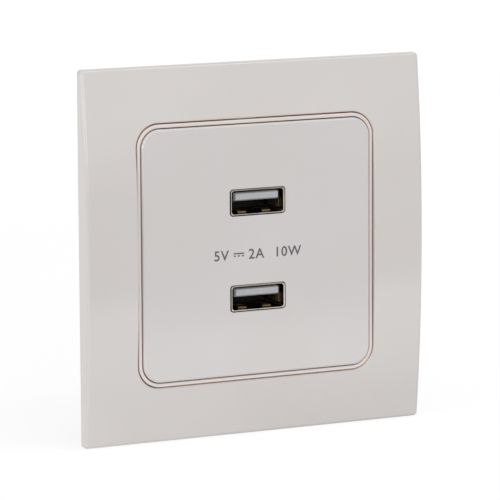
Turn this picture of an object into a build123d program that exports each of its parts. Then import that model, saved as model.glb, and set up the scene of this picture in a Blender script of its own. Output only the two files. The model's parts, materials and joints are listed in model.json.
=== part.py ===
from build123d import *
import os
from math import asin, atan, cos, degrees, radians, sin, sqrt

# A double USB charging socket for a round wall box, in millimetres.
# +X is right and +Z is up as seen from the room, and the front faces -Y.
# The origin is on the wall plane, midway between the two screws of the wall box.

# How far the shapes of one piece run into each other, so that they join
join = 0.1

# Levels, counted forwards from the wall
rim_gap = 3.0
rim_end_depth = 1.6
rim_arch_rise = 2.55
plate_level = 6.63
ring_below_plate = 0.4

# Square frame with its front bowed from top to bottom
frame_side = 81.7
frame_corner_r = 0.9
frame_draft = 0.2
frame_edge_r = 0.7
frame_wall = 1.8
opening_edge_r = 0.35
skirt_inset = 2.2
skirt_wall = 1.5
skirt_corner_r = 2.2
collar_wall = 1.4
frame_rib = 1.0
frame_rib_pitch = 18.0
frame_rib_clearance = 1.1

# Centre plate and the ring round it
plate_side = 54.95
plate_corner_r = 4.1
plate_edge_r = 0.45
plate_wall = 2.0
plate_side_wall = 1.5
plate_side_depth = 4.3
hairline = 0.2
ring_width = 0.8
ring_flange_t = 1.0
ring_flange_width = 3.1
ring_edge_r = 0.25
screw_notch_half = 5.0
screw_notch_level = 3.9
locating_rib = 1.0
locating_rib_depth = 2.0

# Snap legs of the centre plate
leg_x = 8.0
leg_width = 5.0
leg_t = 1.2
leg_wall_gap = 1.0
leg_barb = 0.7
leg_barb_height = 1.4
leg_barb_play = 0.15
leg_window_play = 0.35
leg_flex_room = 0.5
leg_hook_grip = 0.2

# Steel mounting plate
mount_gap = 1.9
mount_t = 1.0
mount_corner_cut = 9.0
bead_height = 0.4
bead_width = 1.6
bead_length = 34.0
bead_edge = 1.9
box_screw_pitch = 60.0
slot_width = 3.8
slot_length = 5.5
window_play = 0.4

# Charger housing behind the mounting plate
module_half_z = 23.0
module_corner_cut = 5.5
module_depth = 24.3
module_wall = 1.5
module_edge_r = 0.8
recess_half_z = 5.9
recess_depth = 5.2
lid_t = 1.8
lid_lip_t = 1.2
lid_lip_depth = 2.0
lid_fit = 0.1
tower_half_x = 10.0
tower_half_z = 20.5
tower_corner_r = 1.5
tower_wall = 1.2
tower_plate_gap = 0.13
tower_rib_play = 0.3

# All screws, as shares of the head's height and radius or of the shank's radius
screw_dome = 0.45
screw_slot_depth = 0.6
screw_slot_width = 0.3
screw_slot_reach = 2.4
screw_cross_reach = 1.32
screw_tip_share = 0.6
screw_tip_taper = 0.5

# Screws that close the housing
closing_inset_x = 5.0
closing_inset_z = 4.4
closing_shank_r = 1.1
closing_head_r = 2.0
closing_head_h = 1.4
closing_tip_level = 7.9
closing_head_seat = 1.9
closing_play = 0.12
closing_boss_wall = 0.6
pillar_r = 2.0
pillar_split = 12.0

# Rivets between the mounting plate and the housing lid
rivet_inset_x = 5.4
rivet_below_closing = 7.6
rivet_r = 1.2
rivet_head_r = 2.2
rivet_head_h = 0.7
rivet_round_share = 0.7
rivet_tail_r = 1.9
rivet_tail_h = 0.6

# USB receptacles
port_pitch = 21.0
port_width = 12.5
port_height = 5.12
port_sheet = 0.3
port_corner_r = 0.6
port_seam = 0.1
port_recess = 0.08
port_length = 13.2
aperture_play_x = 0.22
aperture_play_z = 0.12
aperture_r = 0.8
tongue_width = 11.1
tongue_t = 1.84
tongue_top_gap = 0.42
tongue_recess = 0.35
tongue_chamfer = 0.3
insulator_base = 4.1
insulator_play = 0.05
contact_width = 1.0
contact_t = 0.25
contact_stand = 0.15
contact_recess = 1.6
contact_inner_x = 1.0
contact_outer_x = 3.5
spring_width = 2.0
spring_slot = 0.25
spring_length = 6.5
spring_front = 1.8
spring_t = 0.24
spring_root_sink = 0.27
spring_bulge = 0.75
spring_top_share = 0.3
spring_half_way = 0.45
spring_free_share = 0.5
spring_tip = 1.1
spring_x = 2.95
side_spring_z = -0.7
shell_leg_width = 2.4
shell_leg_length = 2.2

# Front board with the receptacles
board_side_gap = 1.2
board_half_z = 20.6
board_corner_cut = 2.5
front_board_t = 1.2
board_gap_slot = 0.25
stake_x = 4.0
stake_r = 0.9
stake_rib_t = 1.2
stake_rib_half = 6.0
stake_head = 0.7
stake_play = 0.1

# Rear board with the mains side
rear_board_t = 1.4
rear_board_above_bars = 5.6
standoff_h = 1.0
standoff_r = 1.5
standoff_low_z = -5.5
standoff_high_z = 9.6

# Leads of the wired components
lead_r = 0.3
lead_hole_play = 0.15
lead_stick_out = 0.9

# Transformer
core_width = 15.6
core_height = 13.0
core_share = 0.44
core_leg = 4.5
core_side_leg = 2.4
core_yoke = 2.1
core_z = 1.6
core_wall_gap = 1.1
bobbin_wall = 0.7
bobbin_side_play = 0.3
bobbin_foot = 0.8
bobbin_headroom = 1.35
bobbin_flange = 0.9
winding_corner_r = 1.4
winding_inset = 0.35
bobbin_pin_pitch = 3.2

# Mains smoothing capacitors
mains_cap_r = 4.0
mains_cap_headroom = 1.95
mains_cap_core_gap = 1.4
mains_cap_wall_gap = 1.3
mains_cap_low_z = -2.2
mains_cap_pitch = 8.4
mains_cap_leads = 3.5

# Output capacitors between the receptacles
output_cap_r = 3.15
output_cap_h = 8.6
output_cap_pitch = 7.4
output_cap_leads = 2.5

# Crimped bead and top of every capacitor can
can_bead_start = 1.2
can_bead_width = 0.8
can_bead_share = 0.06
can_edge_share = 0.18
can_vent_share = 0.75
can_vent_depth = 0.15

# Choke, fuse resistor and suppression capacitor
choke_r = 3.0
choke_h = 7.6
choke_edge_gap = 0.3
choke_z = 13.4
choke_leads = 3.0
choke_groove = 0.6
choke_flange_share = 0.14
fuse_r = 1.6
fuse_waist_share = 0.86
fuse_cap_length = 2.0
fuse_cap_edge = 0.4
fuse_lift = 0.3
fuse_length = 7.0
fuse_x = -1.2
fuse_z = 18.6
fuse_lead_reach = 1.3
lead_bend_r = 0.7
disc_r = 3.6
disc_t = 2.8
disc_x = 4.0
disc_z = 13.2
disc_leads = 5.0
disc_lift = 0.6
disc_edge_share = 0.3
disc_lead_share = 0.4

# Rectifier, switching chip, port controller and output diode
bridge_edge_gap = 1.0
bridge_z = 14.0
bridge_width = 5.0
bridge_length = 4.2
bridge_h = 2.4
bridge_lift = 0.5
bridge_leads = 2.54
bridge_leg_t = 0.24
chip_x = -2.4
chip_z = 12.6
chip_width = 4.0
chip_length = 5.0
chip_h = 1.5
controller_width = 4.0
controller_length = 5.0
controller_h = 1.4
diode_width = 3.6
diode_length = 4.4
diode_h = 2.2
diode_foot_half = 1.0
diode_foot_under = 0.9
diode_foot_out = 0.35
diode_z = 15.6
controller_z = -15.6
foot_width = 0.45
foot_reach = 0.9
foot_knee_share = 0.45
foot_t = 0.2
foot_pitch = 1.27
feet_per_side = 4

# Pin strip between the two boards
strip_edge_gap = 0.49
strip_z = 18.9
strip_pitch = 2.54
strip_pins = 3
strip_block_h = 2.5
strip_pin_half = 0.32
strip_hole_play = 0.1

# Terminals for the two mains wires
terminal_x = 8.0
terminal_head_r = 2.1
terminal_head_h = 1.2
terminal_shank_r = 1.5
terminal_end_play = 0.1
terminal_thread_fit = 0.06
driver_hole_r = 1.75
cage_width = 7.0
cage_depth = 6.0
cage_side_wall = 1.0
cage_nut_wall = 1.4
cage_gap = 4.9
cage_travel = 3.0
cage_guide_play = 0.3
cage_back_gap = 1.3
cage_edge_r = 0.6
guide_wall = 1.0
bar_z = -14.2
bar_t = 1.0
bar_width = 4.0
bar_reach = 2.5
bar_upright_t = 0.8
bar_tail_z = -7.0
bar_tail_width = 1.4
wire_hole_r = 1.7
wire_lift = 0.1
wire_mouth = 0.5
wire_collar_t = 1.2
wire_collar_depth = 1.0

# Spreading claws and their screws
claw_pivot_gap = 2.8
claw_pivot_y = 4.6
claw_hub_r = 2.1
claw_sheet = 1.0
claw_half_z = 3.6
claw_arm_length = 16.6
claw_arm_width = 7.3
claw_arm_inset = 1.3
claw_arm_corner = 1.0
claw_shoulder_y = 6.0
claw_nose_back = 2.0
claw_nose_front = 1.0
claw_lever = 4.4
claw_rest_angle = 18.0
claw_swing = 28.0
claw_tab_length = 4.8
claw_tab_hole_play = 0.3
claw_tab_slot_extra = 0.4
claw_web_length = 3.0
claw_tooth_pitch = 2.0
claw_tooth_depth = 1.1
claw_tooth_end = 0.6
claw_tooth_share = 0.9
claw_teeth = 3
claw_pin_r = 1.0
claw_pin_fit = 0.05
claw_pin_head = 0.35
claw_pin_head_r = 1.4
ear_t = 1.0
ear_play = 0.3
ear_half_width = 2.0
ear_window_width = 3.0
claw_screw_r = 1.75
claw_screw_thread = 0.6
claw_screw_head_r = 2.8
claw_screw_head_h = 2.0
claw_screw_length = 16.0
claw_screw_hole_play = 0.3
retainer_r = 3.1
retainer_t = 0.8
retainer_gap = 0.3

# Values that follow from the sizes above
plate_half = plate_side / 2
ring_in_half = plate_half + hairline
ring_out_half = ring_in_half + ring_width
opening_half = ring_out_half + hairline
ring_in_r = plate_corner_r + hairline
ring_out_r = ring_in_r + ring_width
opening_r = ring_out_r + hairline
frame_half = frame_side / 2
skirt_half = frame_half - skirt_inset
frame_mid_level = rim_gap + rim_end_depth + rim_arch_rise
arch_radius = (frame_half**2 + rim_arch_rise**2) / (2 * rim_arch_rise)
arch_centre_y = arch_radius - frame_mid_level
plate_back = plate_level - plate_wall
flange_front = mount_t + ring_flange_t
collar_back = flange_front
ring_level = plate_level - ring_below_plate
port_front = plate_level - port_recess
front_board_level = port_length - port_front
lid_front = plate_back - tower_plate_gap
shell_half_x = port_width / 2 + port_sheet
shell_half_z = port_height / 2 + port_sheet
tongue_top = port_height / 2 - tongue_top_gap
tongue_bottom = tongue_top - tongue_t
contact_bottom = tongue_bottom - contact_stand
leg_z = plate_half - plate_side_wall - leg_wall_gap - leg_t / 2
mount_side = 2 * (skirt_half - skirt_wall - mount_gap)
components_width = core_width + mains_cap_core_gap + 2 * mains_cap_r
recess_inner_x = (core_wall_gap + components_width + mains_cap_wall_gap) / 2
recess_floor_x = recess_inner_x + module_wall
module_half_x = recess_floor_x + recess_depth
closing_x = module_half_x - closing_inset_x
closing_z = module_half_z - closing_inset_z
rivet_x = module_half_x - rivet_inset_x
rivet_z = closing_z - rivet_below_closing
closing_length = module_depth - closing_head_seat - closing_tip_level
board_half_x = recess_inner_x - board_side_gap
rear_board_level = module_depth - module_wall - standoff_h - rear_board_t
board_space = rear_board_level - front_board_level - front_board_t
standoff_x = board_half_x - standoff_r
core_x = core_wall_gap + core_width / 2 - recess_inner_x
mains_cap_x = core_x + core_width / 2 + mains_cap_core_gap + mains_cap_r
mains_cap_h = board_space - mains_cap_headroom
bobbin_half_x = core_width / 2 - core_side_leg - bobbin_side_play
bobbin_half_y = (board_space - bobbin_foot - bobbin_headroom) / 2
core_t = core_share * 2 * bobbin_half_y
core_level = rear_board_level - bobbin_foot - bobbin_half_y
choke_x = choke_r + choke_edge_gap - board_half_x
bridge_x = board_half_x - bridge_edge_gap - bridge_width / 2
strip_x = board_half_x - strip_edge_gap - strip_pitch * strip_pins / 2
strip_hole_r = strip_pin_half * sqrt(2) + strip_hole_play
claw_pivot_x = recess_floor_x + claw_pivot_gap
terminal_y = module_depth - module_wall - cage_back_gap - cage_depth / 2
bar_front_y = terminal_y - cage_depth / 2 - bar_reach
rear_board_low_z = bar_z + rear_board_above_bars
claw_tab_tilt = claw_swing / 2
claw_hole_x = claw_lever * cos(radians(claw_rest_angle))
claw_hole_y = claw_lever * sin(radians(claw_rest_angle))
claw_screw_x = claw_pivot_x + claw_lever * cos(radians(claw_rest_angle - claw_tab_tilt))
ear_inner_z = claw_half_z + ear_play
ear_outer_z = ear_inner_z + ear_t
bar_bottom = bar_z - bar_t
terminal_head_z = -(module_half_z - module_wall - terminal_end_play)
cage_bottom = bar_bottom - terminal_end_play - cage_nut_wall
cage_top = cage_bottom + cage_nut_wall + cage_gap + cage_side_wall
wire_z = bar_z + wire_hole_r + wire_lift
terminals = {"live": -terminal_x, "neutral": terminal_x}
sides = {"left": -1, "right": 1}
ports = {"upper": port_pitch / 2, "lower": -port_pitch / 2}


def slab(face, front, back):
    """Solid between two levels along Y, from a face drawn as seen from the room."""
    return extrude(Plane.XZ.offset(-back) * face, amount=back - front)


def rounded(half_x, half_z, radius):
    return RectangleRounded(2 * half_x, 2 * half_z, radius)


def square_ring(outer_half, outer_r, inner_half, inner_r):
    return rounded(outer_half, outer_half, outer_r) - rounded(inner_half, inner_half, inner_r)


def block(x0, x1, y0, y1, z0, z1):
    """Box between its two corners, each pair of limits in either order."""
    centre = Pos((x0 + x1) / 2, (y0 + y1) / 2, (z0 + z1) / 2)
    return centre * Box(abs(x1 - x0), abs(y1 - y0), abs(z1 - z0))


def corners(x, z):
    return [(i * x, j * z) for i in (-1, 1) for j in (-1, 1)]


def round_y(x, z, radius, front, back):
    """Cylinder along Y."""
    return slab(Pos(x, z) * Circle(radius), front, back)


def mid_side_notches(reach, front, back):
    """Four blocks at the middles of the sides, where the heads of the box screws need room."""
    level = block(-reach, reach, front, back, -screw_notch_half, screw_notch_half)
    upright = block(-screw_notch_half, screw_notch_half, front, back, -reach, reach)
    return level + upright


def screw(head_r, head_h, shank_r, length, slots):
    """Screw with its bearing face at z = 0, its domed head above and its shank below."""
    dome = screw_dome * head_h
    rim = head_h - dome
    ball_r = (head_r**2 + dome**2) / (2 * dome)
    half_turn = asin(head_r / ball_r) / 2
    midway = (ball_r * sin(half_turn), head_h - ball_r * (1 - cos(half_turn)))
    tip_r = shank_r * screw_tip_share
    outline = Polyline((0, -length), (tip_r, -length), (shank_r, -length + shank_r * screw_tip_taper),
                       (shank_r, 0), (head_r, 0), (head_r, rim))
    top = ThreePointArc((head_r, rim), midway, (0, head_h))
    profile = make_face(outline + top + Line((0, head_h), (0, -length)))
    body = revolve(Plane.XZ * profile, Axis.Z)
    slot_w = head_r * screw_slot_width
    slot_d = head_h * screw_slot_depth
    reach = head_r * (screw_slot_reach if slots == 1 else screw_cross_reach)
    for turn in range(slots):
        cut = Rot(0, 0, 90 * turn) * Box(reach, slot_w, slot_d)
        body -= Pos(0, 0, head_h - slot_d / 2) * cut
    return body


def arch_level(z, inset):
    """Y of the bowed front, or of a surface that runs parallel behind it."""
    return arch_centre_y - sqrt((arch_radius - inset)**2 - z**2)


def arched_block(half_x, half_z, inset, back):
    end = arch_level(half_z, inset)
    mid = arch_level(0, inset)
    outline = Polyline((end, half_z), (back, half_z), (back, -half_z), (end, -half_z))
    bow = ThreePointArc((end, -half_z), (mid, 0), (end, half_z))
    return extrude(Plane.YZ * make_face(outline + bow), amount=half_x, both=True)


# The frame

def frame_ribs(cavity_half):
    """Stiffening ribs between the collar and the skirt."""
    ribs = []
    inner = opening_half + collar_wall / 2
    outer = cavity_half + skirt_wall / 2
    back = -(mount_t + frame_rib_clearance)
    front = arch_level(0, frame_wall) - frame_wall
    for place in (-frame_rib_pitch, frame_rib_pitch):
        low = place - frame_rib / 2
        high = place + frame_rib / 2
        for side in (-1, 1):
            level = block(side * inner, side * outer, front, back, low, high)
            upright = block(low, high, front, back, side * inner, side * outer)
            ribs += [level, upright]
    return ribs


def make_bezel_frame():
    """Moulded square frame, bowed front, hollow behind, with a set-back skirt on the wall."""
    deepest = frame_mid_level + 1
    draft = degrees(atan(frame_draft / (frame_mid_level - rim_gap)))
    outline = Plane.XZ.offset(rim_gap) * rounded(frame_half, frame_half, frame_corner_r)
    tapered = extrude(outline, amount=deepest - rim_gap, taper=draft)
    shell = tapered & arched_block(frame_side, frame_half, 0, -rim_gap)
    shell = fillet(shell.faces().sort_by(Axis.Y)[0].edges(), frame_edge_r)
    outer_limit = arched_block(skirt_half, skirt_half, frame_wall / 2, 0)
    cavity_half = skirt_half - skirt_wall
    skirt_face = rounded(skirt_half, skirt_half, skirt_corner_r)
    skirt = slab(skirt_face, -rim_gap - frame_wall / 2, 0) & outer_limit
    cavity = arched_block(cavity_half, cavity_half, frame_wall, 1)
    body = shell + skirt - cavity
    collar_half = opening_half + collar_wall
    collar_face = rounded(collar_half, collar_half, opening_r + collar_wall)
    collar = slab(collar_face, -frame_mid_level, -collar_back)
    inner_limit = arched_block(collar_half, collar_half, frame_wall / 2, 0)
    body += collar & inner_limit
    rib_limit = arched_block(skirt_half, skirt_half, frame_wall / 2, 0)
    for rib in frame_ribs(cavity_half):
        body += rib & rib_limit
    body -= slab(rounded(opening_half, opening_half, opening_r), -deepest, 1)
    body -= mid_side_notches(collar_half + 1, -screw_notch_level, 1)
    return soften_opening(body)


def soften_opening(body):
    """Small round along the front edge of the opening."""
    front = [f for f in body.faces() if f.geom_type != GeomType.PLANE]
    bowed = max(front, key=lambda f: f.area)
    inner = min(bowed.wires(), key=lambda w: w.bounding_box().size.X)
    return fillet(inner.edges(), opening_edge_r)


# The ring and the centre plate

def make_trim_ring():
    """Thin bright ring with a flange that the frame's collar holds down."""
    bead = slab(square_ring(ring_out_half, ring_out_r, ring_in_half, ring_in_r), -ring_level, -mount_t)
    top = [e for e in bead.edges() if abs(e.center().Y + ring_level) < 1e-3]
    bead = fillet(top, ring_edge_r)
    outer = ring_in_half + ring_flange_width
    flange_face = square_ring(outer, ring_in_r + ring_flange_width, ring_in_half, ring_in_r)
    body = bead + slab(flange_face, -flange_front, -mount_t)
    return body - mid_side_notches(outer + 1, -screw_notch_level, 0)


def plate_leg(x, side):
    """Snap leg that reaches through the mounting plate and hooks behind it."""
    tip = leg_barb_play + leg_barb_height
    z0 = side * (leg_z - leg_t / 2)
    z1 = side * (leg_z + leg_t / 2)
    stem = block(x - leg_width / 2, x + leg_width / 2, -plate_back - join, tip, z0, z1)
    barb = Polyline((leg_barb_play, z1), (leg_barb_play, z1 + side * leg_barb), (tip, z1), close=True)
    hook = extrude(Plane.YZ.offset(x) * make_face(barb), amount=leg_width / 2, both=True)
    return stem + hook


def make_centre_plate():
    """Flat square plate with two apertures, side walls, locating rib and snap legs."""
    blank_face = rounded(plate_half, plate_half, plate_corner_r)
    blank = slab(blank_face, -plate_level, -plate_level + plate_side_depth)
    front = [e for e in blank.edges() if abs(e.center().Y + plate_level) < 1e-3]
    blank = fillet(front, plate_edge_r)
    inner_half = plate_half - plate_side_wall
    inner_r = plate_corner_r - plate_side_wall
    body = blank - slab(rounded(inner_half, inner_half, inner_r), -plate_back, 0)
    rib_x = tower_half_x + tower_rib_play
    rib_z = tower_half_z + tower_rib_play
    rib_face = rounded(rib_x + locating_rib, rib_z + locating_rib, tower_corner_r + locating_rib)
    rib_face -= rounded(rib_x, rib_z, tower_corner_r)
    body += slab(rib_face, -plate_back - join, -plate_back + locating_rib_depth)
    for z in ports.values():
        mouth = rounded(shell_half_x + aperture_play_x, shell_half_z + aperture_play_z, aperture_r)
        body -= slab(Pos(0, z) * mouth, -plate_level - 1, 0)
    for x in (-leg_x, leg_x):
        for side in (-1, 1):
            body += plate_leg(x, side)
    return body - mid_side_notches(plate_half + 1, -screw_notch_level, 0)


# The mounting plate with its claws

def ear(side, end):
    """Lug bent back from the mounting plate, with the hole for a claw's pin."""
    z0 = end * ear_inner_z
    z1 = end * ear_outer_z
    x = side * claw_pivot_x
    stem = block(x - ear_half_width, x + ear_half_width, -mount_t / 2, claw_pivot_y, z0, z1)
    tip = Pos(x, claw_pivot_y, (z0 + z1) / 2) * Cylinder(ear_half_width, ear_t)
    return stem + tip - Pos(x, claw_pivot_y, (z0 + z1) / 2) * Cylinder(claw_pin_r, 2 * ear_t)


def make_mounting_plate():
    """Stamped steel plate with its window, slots for the box screws, beads and ears."""
    half = mount_side / 2
    face = chamfer(Rectangle(mount_side, mount_side).vertices(), mount_corner_cut)
    face -= rounded(tower_half_x + window_play, tower_half_z + window_play, tower_corner_r)
    for place in (-box_screw_pitch / 2, box_screw_pitch / 2):
        face -= Pos(place, 0) * SlotOverall(slot_length, slot_width)
        face -= Pos(0, place) * Rot(0, 0, 90) * SlotOverall(slot_length, slot_width)
    window_low = leg_z - leg_t / 2 - leg_flex_room
    window_high = leg_z + leg_t / 2 + leg_barb - leg_hook_grip
    for x, z in corners(leg_x, (window_low + window_high) / 2):
        face -= Pos(x, z) * Rectangle(leg_width + 2 * leg_window_play, window_high - window_low)
    for x, z in corners(rivet_x, rivet_z):
        face -= Pos(x, z) * Circle(rivet_r)
    for side in sides.values():
        face -= Pos(side * claw_screw_x, 0) * Circle(claw_screw_r + claw_screw_hole_play)
        ear_window_x = side * (claw_pivot_x - ear_half_width / 2)
        face -= Pos(ear_window_x, 0) * Rectangle(ear_window_width, 2 * ear_inner_z)
    body = slab(face, -mount_t, 0)
    bead_place = half - bead_edge
    bead_front = -mount_t - bead_height
    reach = bead_length / 2
    for side in (-1, 1):
        z0 = side * bead_place - bead_width / 2
        z1 = z0 + bead_width
        body += block(-reach, reach, bead_front, -mount_t, z0, z1)
        body += block(z0, z1, bead_front, -mount_t, -reach, reach)
    for side in sides.values():
        for end in (-1, 1):
            body += ear(side, end)
    return body


def make_claw_pins():
    """Two pins pressed into the ears, each with a small head at both ends."""
    pins = []
    for side in sides.values():
        place = Pos(side * claw_pivot_x, claw_pivot_y, 0)
        pin = Cylinder(claw_pin_r, 2 * ear_outer_z)
        for end in (-1, 1):
            head = Cylinder(claw_pin_head_r, claw_pin_head)
            pin += Pos(0, 0, end * (ear_outer_z + claw_pin_head / 2)) * head
        pins.append(place * pin)
    return Compound(children=pins)


def claw_side_face():
    """Flat outline of one side of the claw, in its rest pose, with the pin at the origin."""
    back = claw_arm_length
    outer = claw_arm_width - claw_arm_inset
    nose = claw_hole_x + claw_tab_length / 2
    hub = claw_hub_r * sqrt(0.5)
    line = Polyline((-claw_arm_inset, 0), (-claw_arm_inset, back - claw_arm_corner),
                    (-claw_arm_inset + claw_arm_corner, back), (outer, back), (outer, claw_shoulder_y),
                    (nose, claw_hole_y + claw_nose_back), (nose, claw_hole_y - claw_nose_front),
                    (hub, -hub), close=True)
    face = make_face(line) + Circle(claw_hub_r)
    for step in range(claw_teeth):
        y = back - claw_tooth_end - claw_tooth_pitch * (step + 1)
        crest = y + claw_tooth_pitch * claw_tooth_share
        gap = Polyline((outer, crest), (outer, y), (outer - claw_tooth_depth, y), close=True)
        face -= make_face(gap)
    return face - Circle(claw_pin_r + claw_pin_fit)


def right_claw():
    """Folded steel claw: two toothed sides, a tab for the screw and a web at the back."""
    side_face = claw_side_face()
    body = None
    for z in (-claw_half_z, claw_half_z - claw_sheet):
        plate = extrude(Plane.XY.offset(z) * side_face, amount=claw_sheet)
        body = plate if body is None else body + plate
    tab_slot = SlotOverall(2 * (claw_screw_r + claw_tab_hole_play + claw_tab_slot_extra),
                           2 * (claw_screw_r + claw_tab_hole_play))
    tab_face = Rectangle(claw_tab_length, 2 * claw_half_z) - tab_slot
    tilt_cos = cos(radians(claw_tab_tilt))
    tilt_sin = sin(radians(claw_tab_tilt))
    tilt = Plane(origin=(claw_hole_x, claw_hole_y, 0), x_dir=(tilt_cos, tilt_sin, 0),
                 z_dir=(tilt_sin, -tilt_cos, 0))
    body += extrude(tilt * tab_face, amount=claw_sheet / 2, both=True)
    body += block(-claw_arm_inset, -claw_arm_inset + claw_sheet, claw_arm_length - claw_web_length,
                  claw_arm_length - claw_arm_corner, -claw_half_z, claw_half_z)
    return Pos(claw_pivot_x, claw_pivot_y, 0) * body


def make_claw(side):
    claw = right_claw()
    return claw if side > 0 else mirror(claw, about=Plane.YZ)


def make_claw_screw(side):
    body = screw(claw_screw_head_r, claw_screw_head_h, claw_screw_r, claw_screw_length, 2)
    return Plane.XZ.offset(mount_t) * Pos(side * claw_screw_x, 0, 0) * body


def make_retaining_ring(side):
    """Plastic ring that keeps a claw screw from dropping out of the mounting plate."""
    ring = Circle(retainer_r) - Circle(claw_screw_r)
    return slab(Pos(side * claw_screw_x, 0) * ring, retainer_gap, retainer_gap + retainer_t)


def make_plate_rivets():
    """Four rivets that clamp the housing lid to the mounting plate."""
    rivets = []
    for x, z in corners(rivet_x, rivet_z):
        head = round_y(x, z, rivet_head_r, -mount_t - rivet_head_h, -mount_t)
        rim = [e for e in head.edges() if e.center().Y < -mount_t - rivet_head_h + 1e-3]
        head = fillet(rim, rivet_head_h * rivet_round_share)
        shank = round_y(x, z, rivet_r, -mount_t, lid_t)
        tail = round_y(x, z, rivet_tail_r, lid_t, lid_t + rivet_tail_h)
        rivets.append(head + shank + tail)
    return Compound(children=rivets)


# The charger housing

def module_face(inset):
    """Outline of the housing with cut corners and a recess for each claw, moved inwards by inset."""
    half_x = module_half_x - inset
    half_z = module_half_z - inset
    cut = module_corner_cut - inset * (2 - sqrt(2))
    face = chamfer(Rectangle(2 * half_x, 2 * half_z).vertices(), cut)
    floor = recess_floor_x - inset
    reach = half_x - floor + 1
    for side in (-1, 1):
        centre = side * (floor + reach / 2)
        face -= Pos(centre, 0) * Rectangle(reach, 2 * (recess_half_z + inset))
    return face


def lid_pillar(x, z):
    """Post behind the lid that a closing screw bites into."""
    reach = slab(module_face(module_wall + lid_fit), lid_t - join, pillar_split)
    post = round_y(x, z, pillar_r, lid_t - join, pillar_split) & reach
    return post - round_y(x, z, closing_shank_r, closing_tip_level, pillar_split + 1)


def make_module_front():
    """Lid of the housing, with a tower that carries the receptacles out to the centre plate."""
    body = slab(module_face(0), 0, lid_t)
    lip_out = module_face(module_wall + lid_fit)
    lip_in = module_face(module_wall + lid_fit + lid_lip_t)
    body += slab(lip_out - lip_in, lid_t - join, lid_t + lid_lip_depth)
    body += slab(rounded(tower_half_x, tower_half_z, tower_corner_r), -lid_front, join)
    inner_x = tower_half_x - tower_wall
    inner_z = tower_half_z - tower_wall
    body -= slab(rounded(inner_x, inner_z, tower_corner_r / 2), -lid_front + tower_wall, lid_t + 1)
    for z in ports.values():
        mouth = rounded(shell_half_x + insulator_play, shell_half_z + insulator_play, aperture_r)
        body -= slab(Pos(0, z) * mouth, -lid_front - 1, 0)
    for side in (-1, 1):
        z0 = side * (tower_half_z - stake_rib_t)
        z1 = side * tower_half_z
        body += block(-stake_rib_half, stake_rib_half, lid_t - join, front_board_level, z0, z1)
        for x in (-stake_x, stake_x):
            centre = (z0 + z1) / 2
            body += round_y(x, centre, stake_r, front_board_level - join,
                            front_board_level + front_board_t + stake_head) & block(
                -board_half_x, board_half_x, 0, module_depth, -board_half_z, board_half_z)
    for x, z in corners(closing_x, closing_z):
        body += lid_pillar(x, z)
    for x, z in corners(rivet_x, rivet_z):
        body -= round_y(x, z, rivet_r, -1, lid_t + 1)
    return body


def terminal_guides(x):
    """Walls inside the housing that a clamp cage slides between."""
    inner = cage_width / 2 + cage_guide_play
    floor = -(module_half_z - module_wall / 2)
    top = cage_top + cage_guide_play
    body = None
    for side in (-1, 1):
        x0 = x + side * inner
        wall = block(x0, x0 + side * guide_wall, bar_front_y + bar_upright_t,
                     module_depth - module_wall / 2, floor, top)
        body = wall if body is None else body + wall
    return body


def make_module_rear():
    """Deep housing shell with the terminals' guides, wire holes and screw bosses."""
    outer = slab(module_face(0), lid_t, module_depth)
    outer = fillet(outer.faces().sort_by(Axis.Y)[-1].edges(), module_edge_r)
    cavity = slab(module_face(module_wall), lid_t - 1, module_depth - module_wall)
    body = outer - cavity
    room = slab(module_face(module_wall / 2), lid_t, module_depth - module_wall / 2)
    inside = module_depth - module_wall
    for x, z in corners(closing_x, closing_z):
        boss_r = closing_head_r + closing_play + closing_boss_wall
        body += round_y(x, z, boss_r, pillar_split, inside + join) & room
    for x, z in corners(closing_x, closing_z):
        body -= round_y(x, z, closing_shank_r + closing_play, pillar_split - 1, module_depth)
        seat = module_depth - closing_head_seat
        body -= round_y(x, z, closing_head_r + closing_play, seat, module_depth + 1)
    for x in terminals.values():
        body += terminal_guides(x)
        collar = round_y(x, wire_z, wire_hole_r + wire_collar_t, inside - wire_collar_depth, inside + join)
        bar_room = block(x - cage_width, x + cage_width, 0, module_depth, bar_bottom - cage_width, bar_z)
        body += collar - bar_room
        body -= round_y(x, wire_z, wire_hole_r, inside - wire_collar_depth - 1, module_depth + 1)
        mouth = Plane(origin=(x, module_depth, wire_z), z_dir=(0, -1, 0)) * Pos(0, 0, wire_mouth / 2)
        body -= mouth * Cone(wire_hole_r + wire_mouth, wire_hole_r, wire_mouth)
        body -= Pos(x, terminal_y, -module_half_z) * Cylinder(driver_hole_r, 4 * module_wall)
    for x in (-standoff_x, standoff_x):
        for z in (standoff_low_z, standoff_high_z):
            body += round_y(x, z, standoff_r, rear_board_level + rear_board_t, inside + join)
    return body


def make_module_screws():
    """Four tapping screws that close the housing from behind."""
    screws = []
    for x, z in corners(closing_x, closing_z):
        seat = Plane(origin=(x, module_depth - closing_head_seat, z), z_dir=(0, 1, 0))
        screws.append(seat * screw(closing_head_r, closing_head_h, closing_shank_r, closing_length, 2))
    return Compound(children=screws)


# The receptacles

def spring_leaf(bulge):
    """Leaf of the shell's wall, bent inwards near its free end, drawn in the plane of its bend."""
    root = -port_front + spring_front + spring_length
    free = root - spring_length
    crest = free + spring_tip
    half_way = ((root + crest) / 2, bulge * spring_half_way)
    low = [(root, 0), half_way, (crest, bulge), (free, bulge * spring_free_share)]
    high = [(y, d + spring_t) for y, d in reversed(low)]
    return make_face(Polyline(low + high, close=True))


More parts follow.
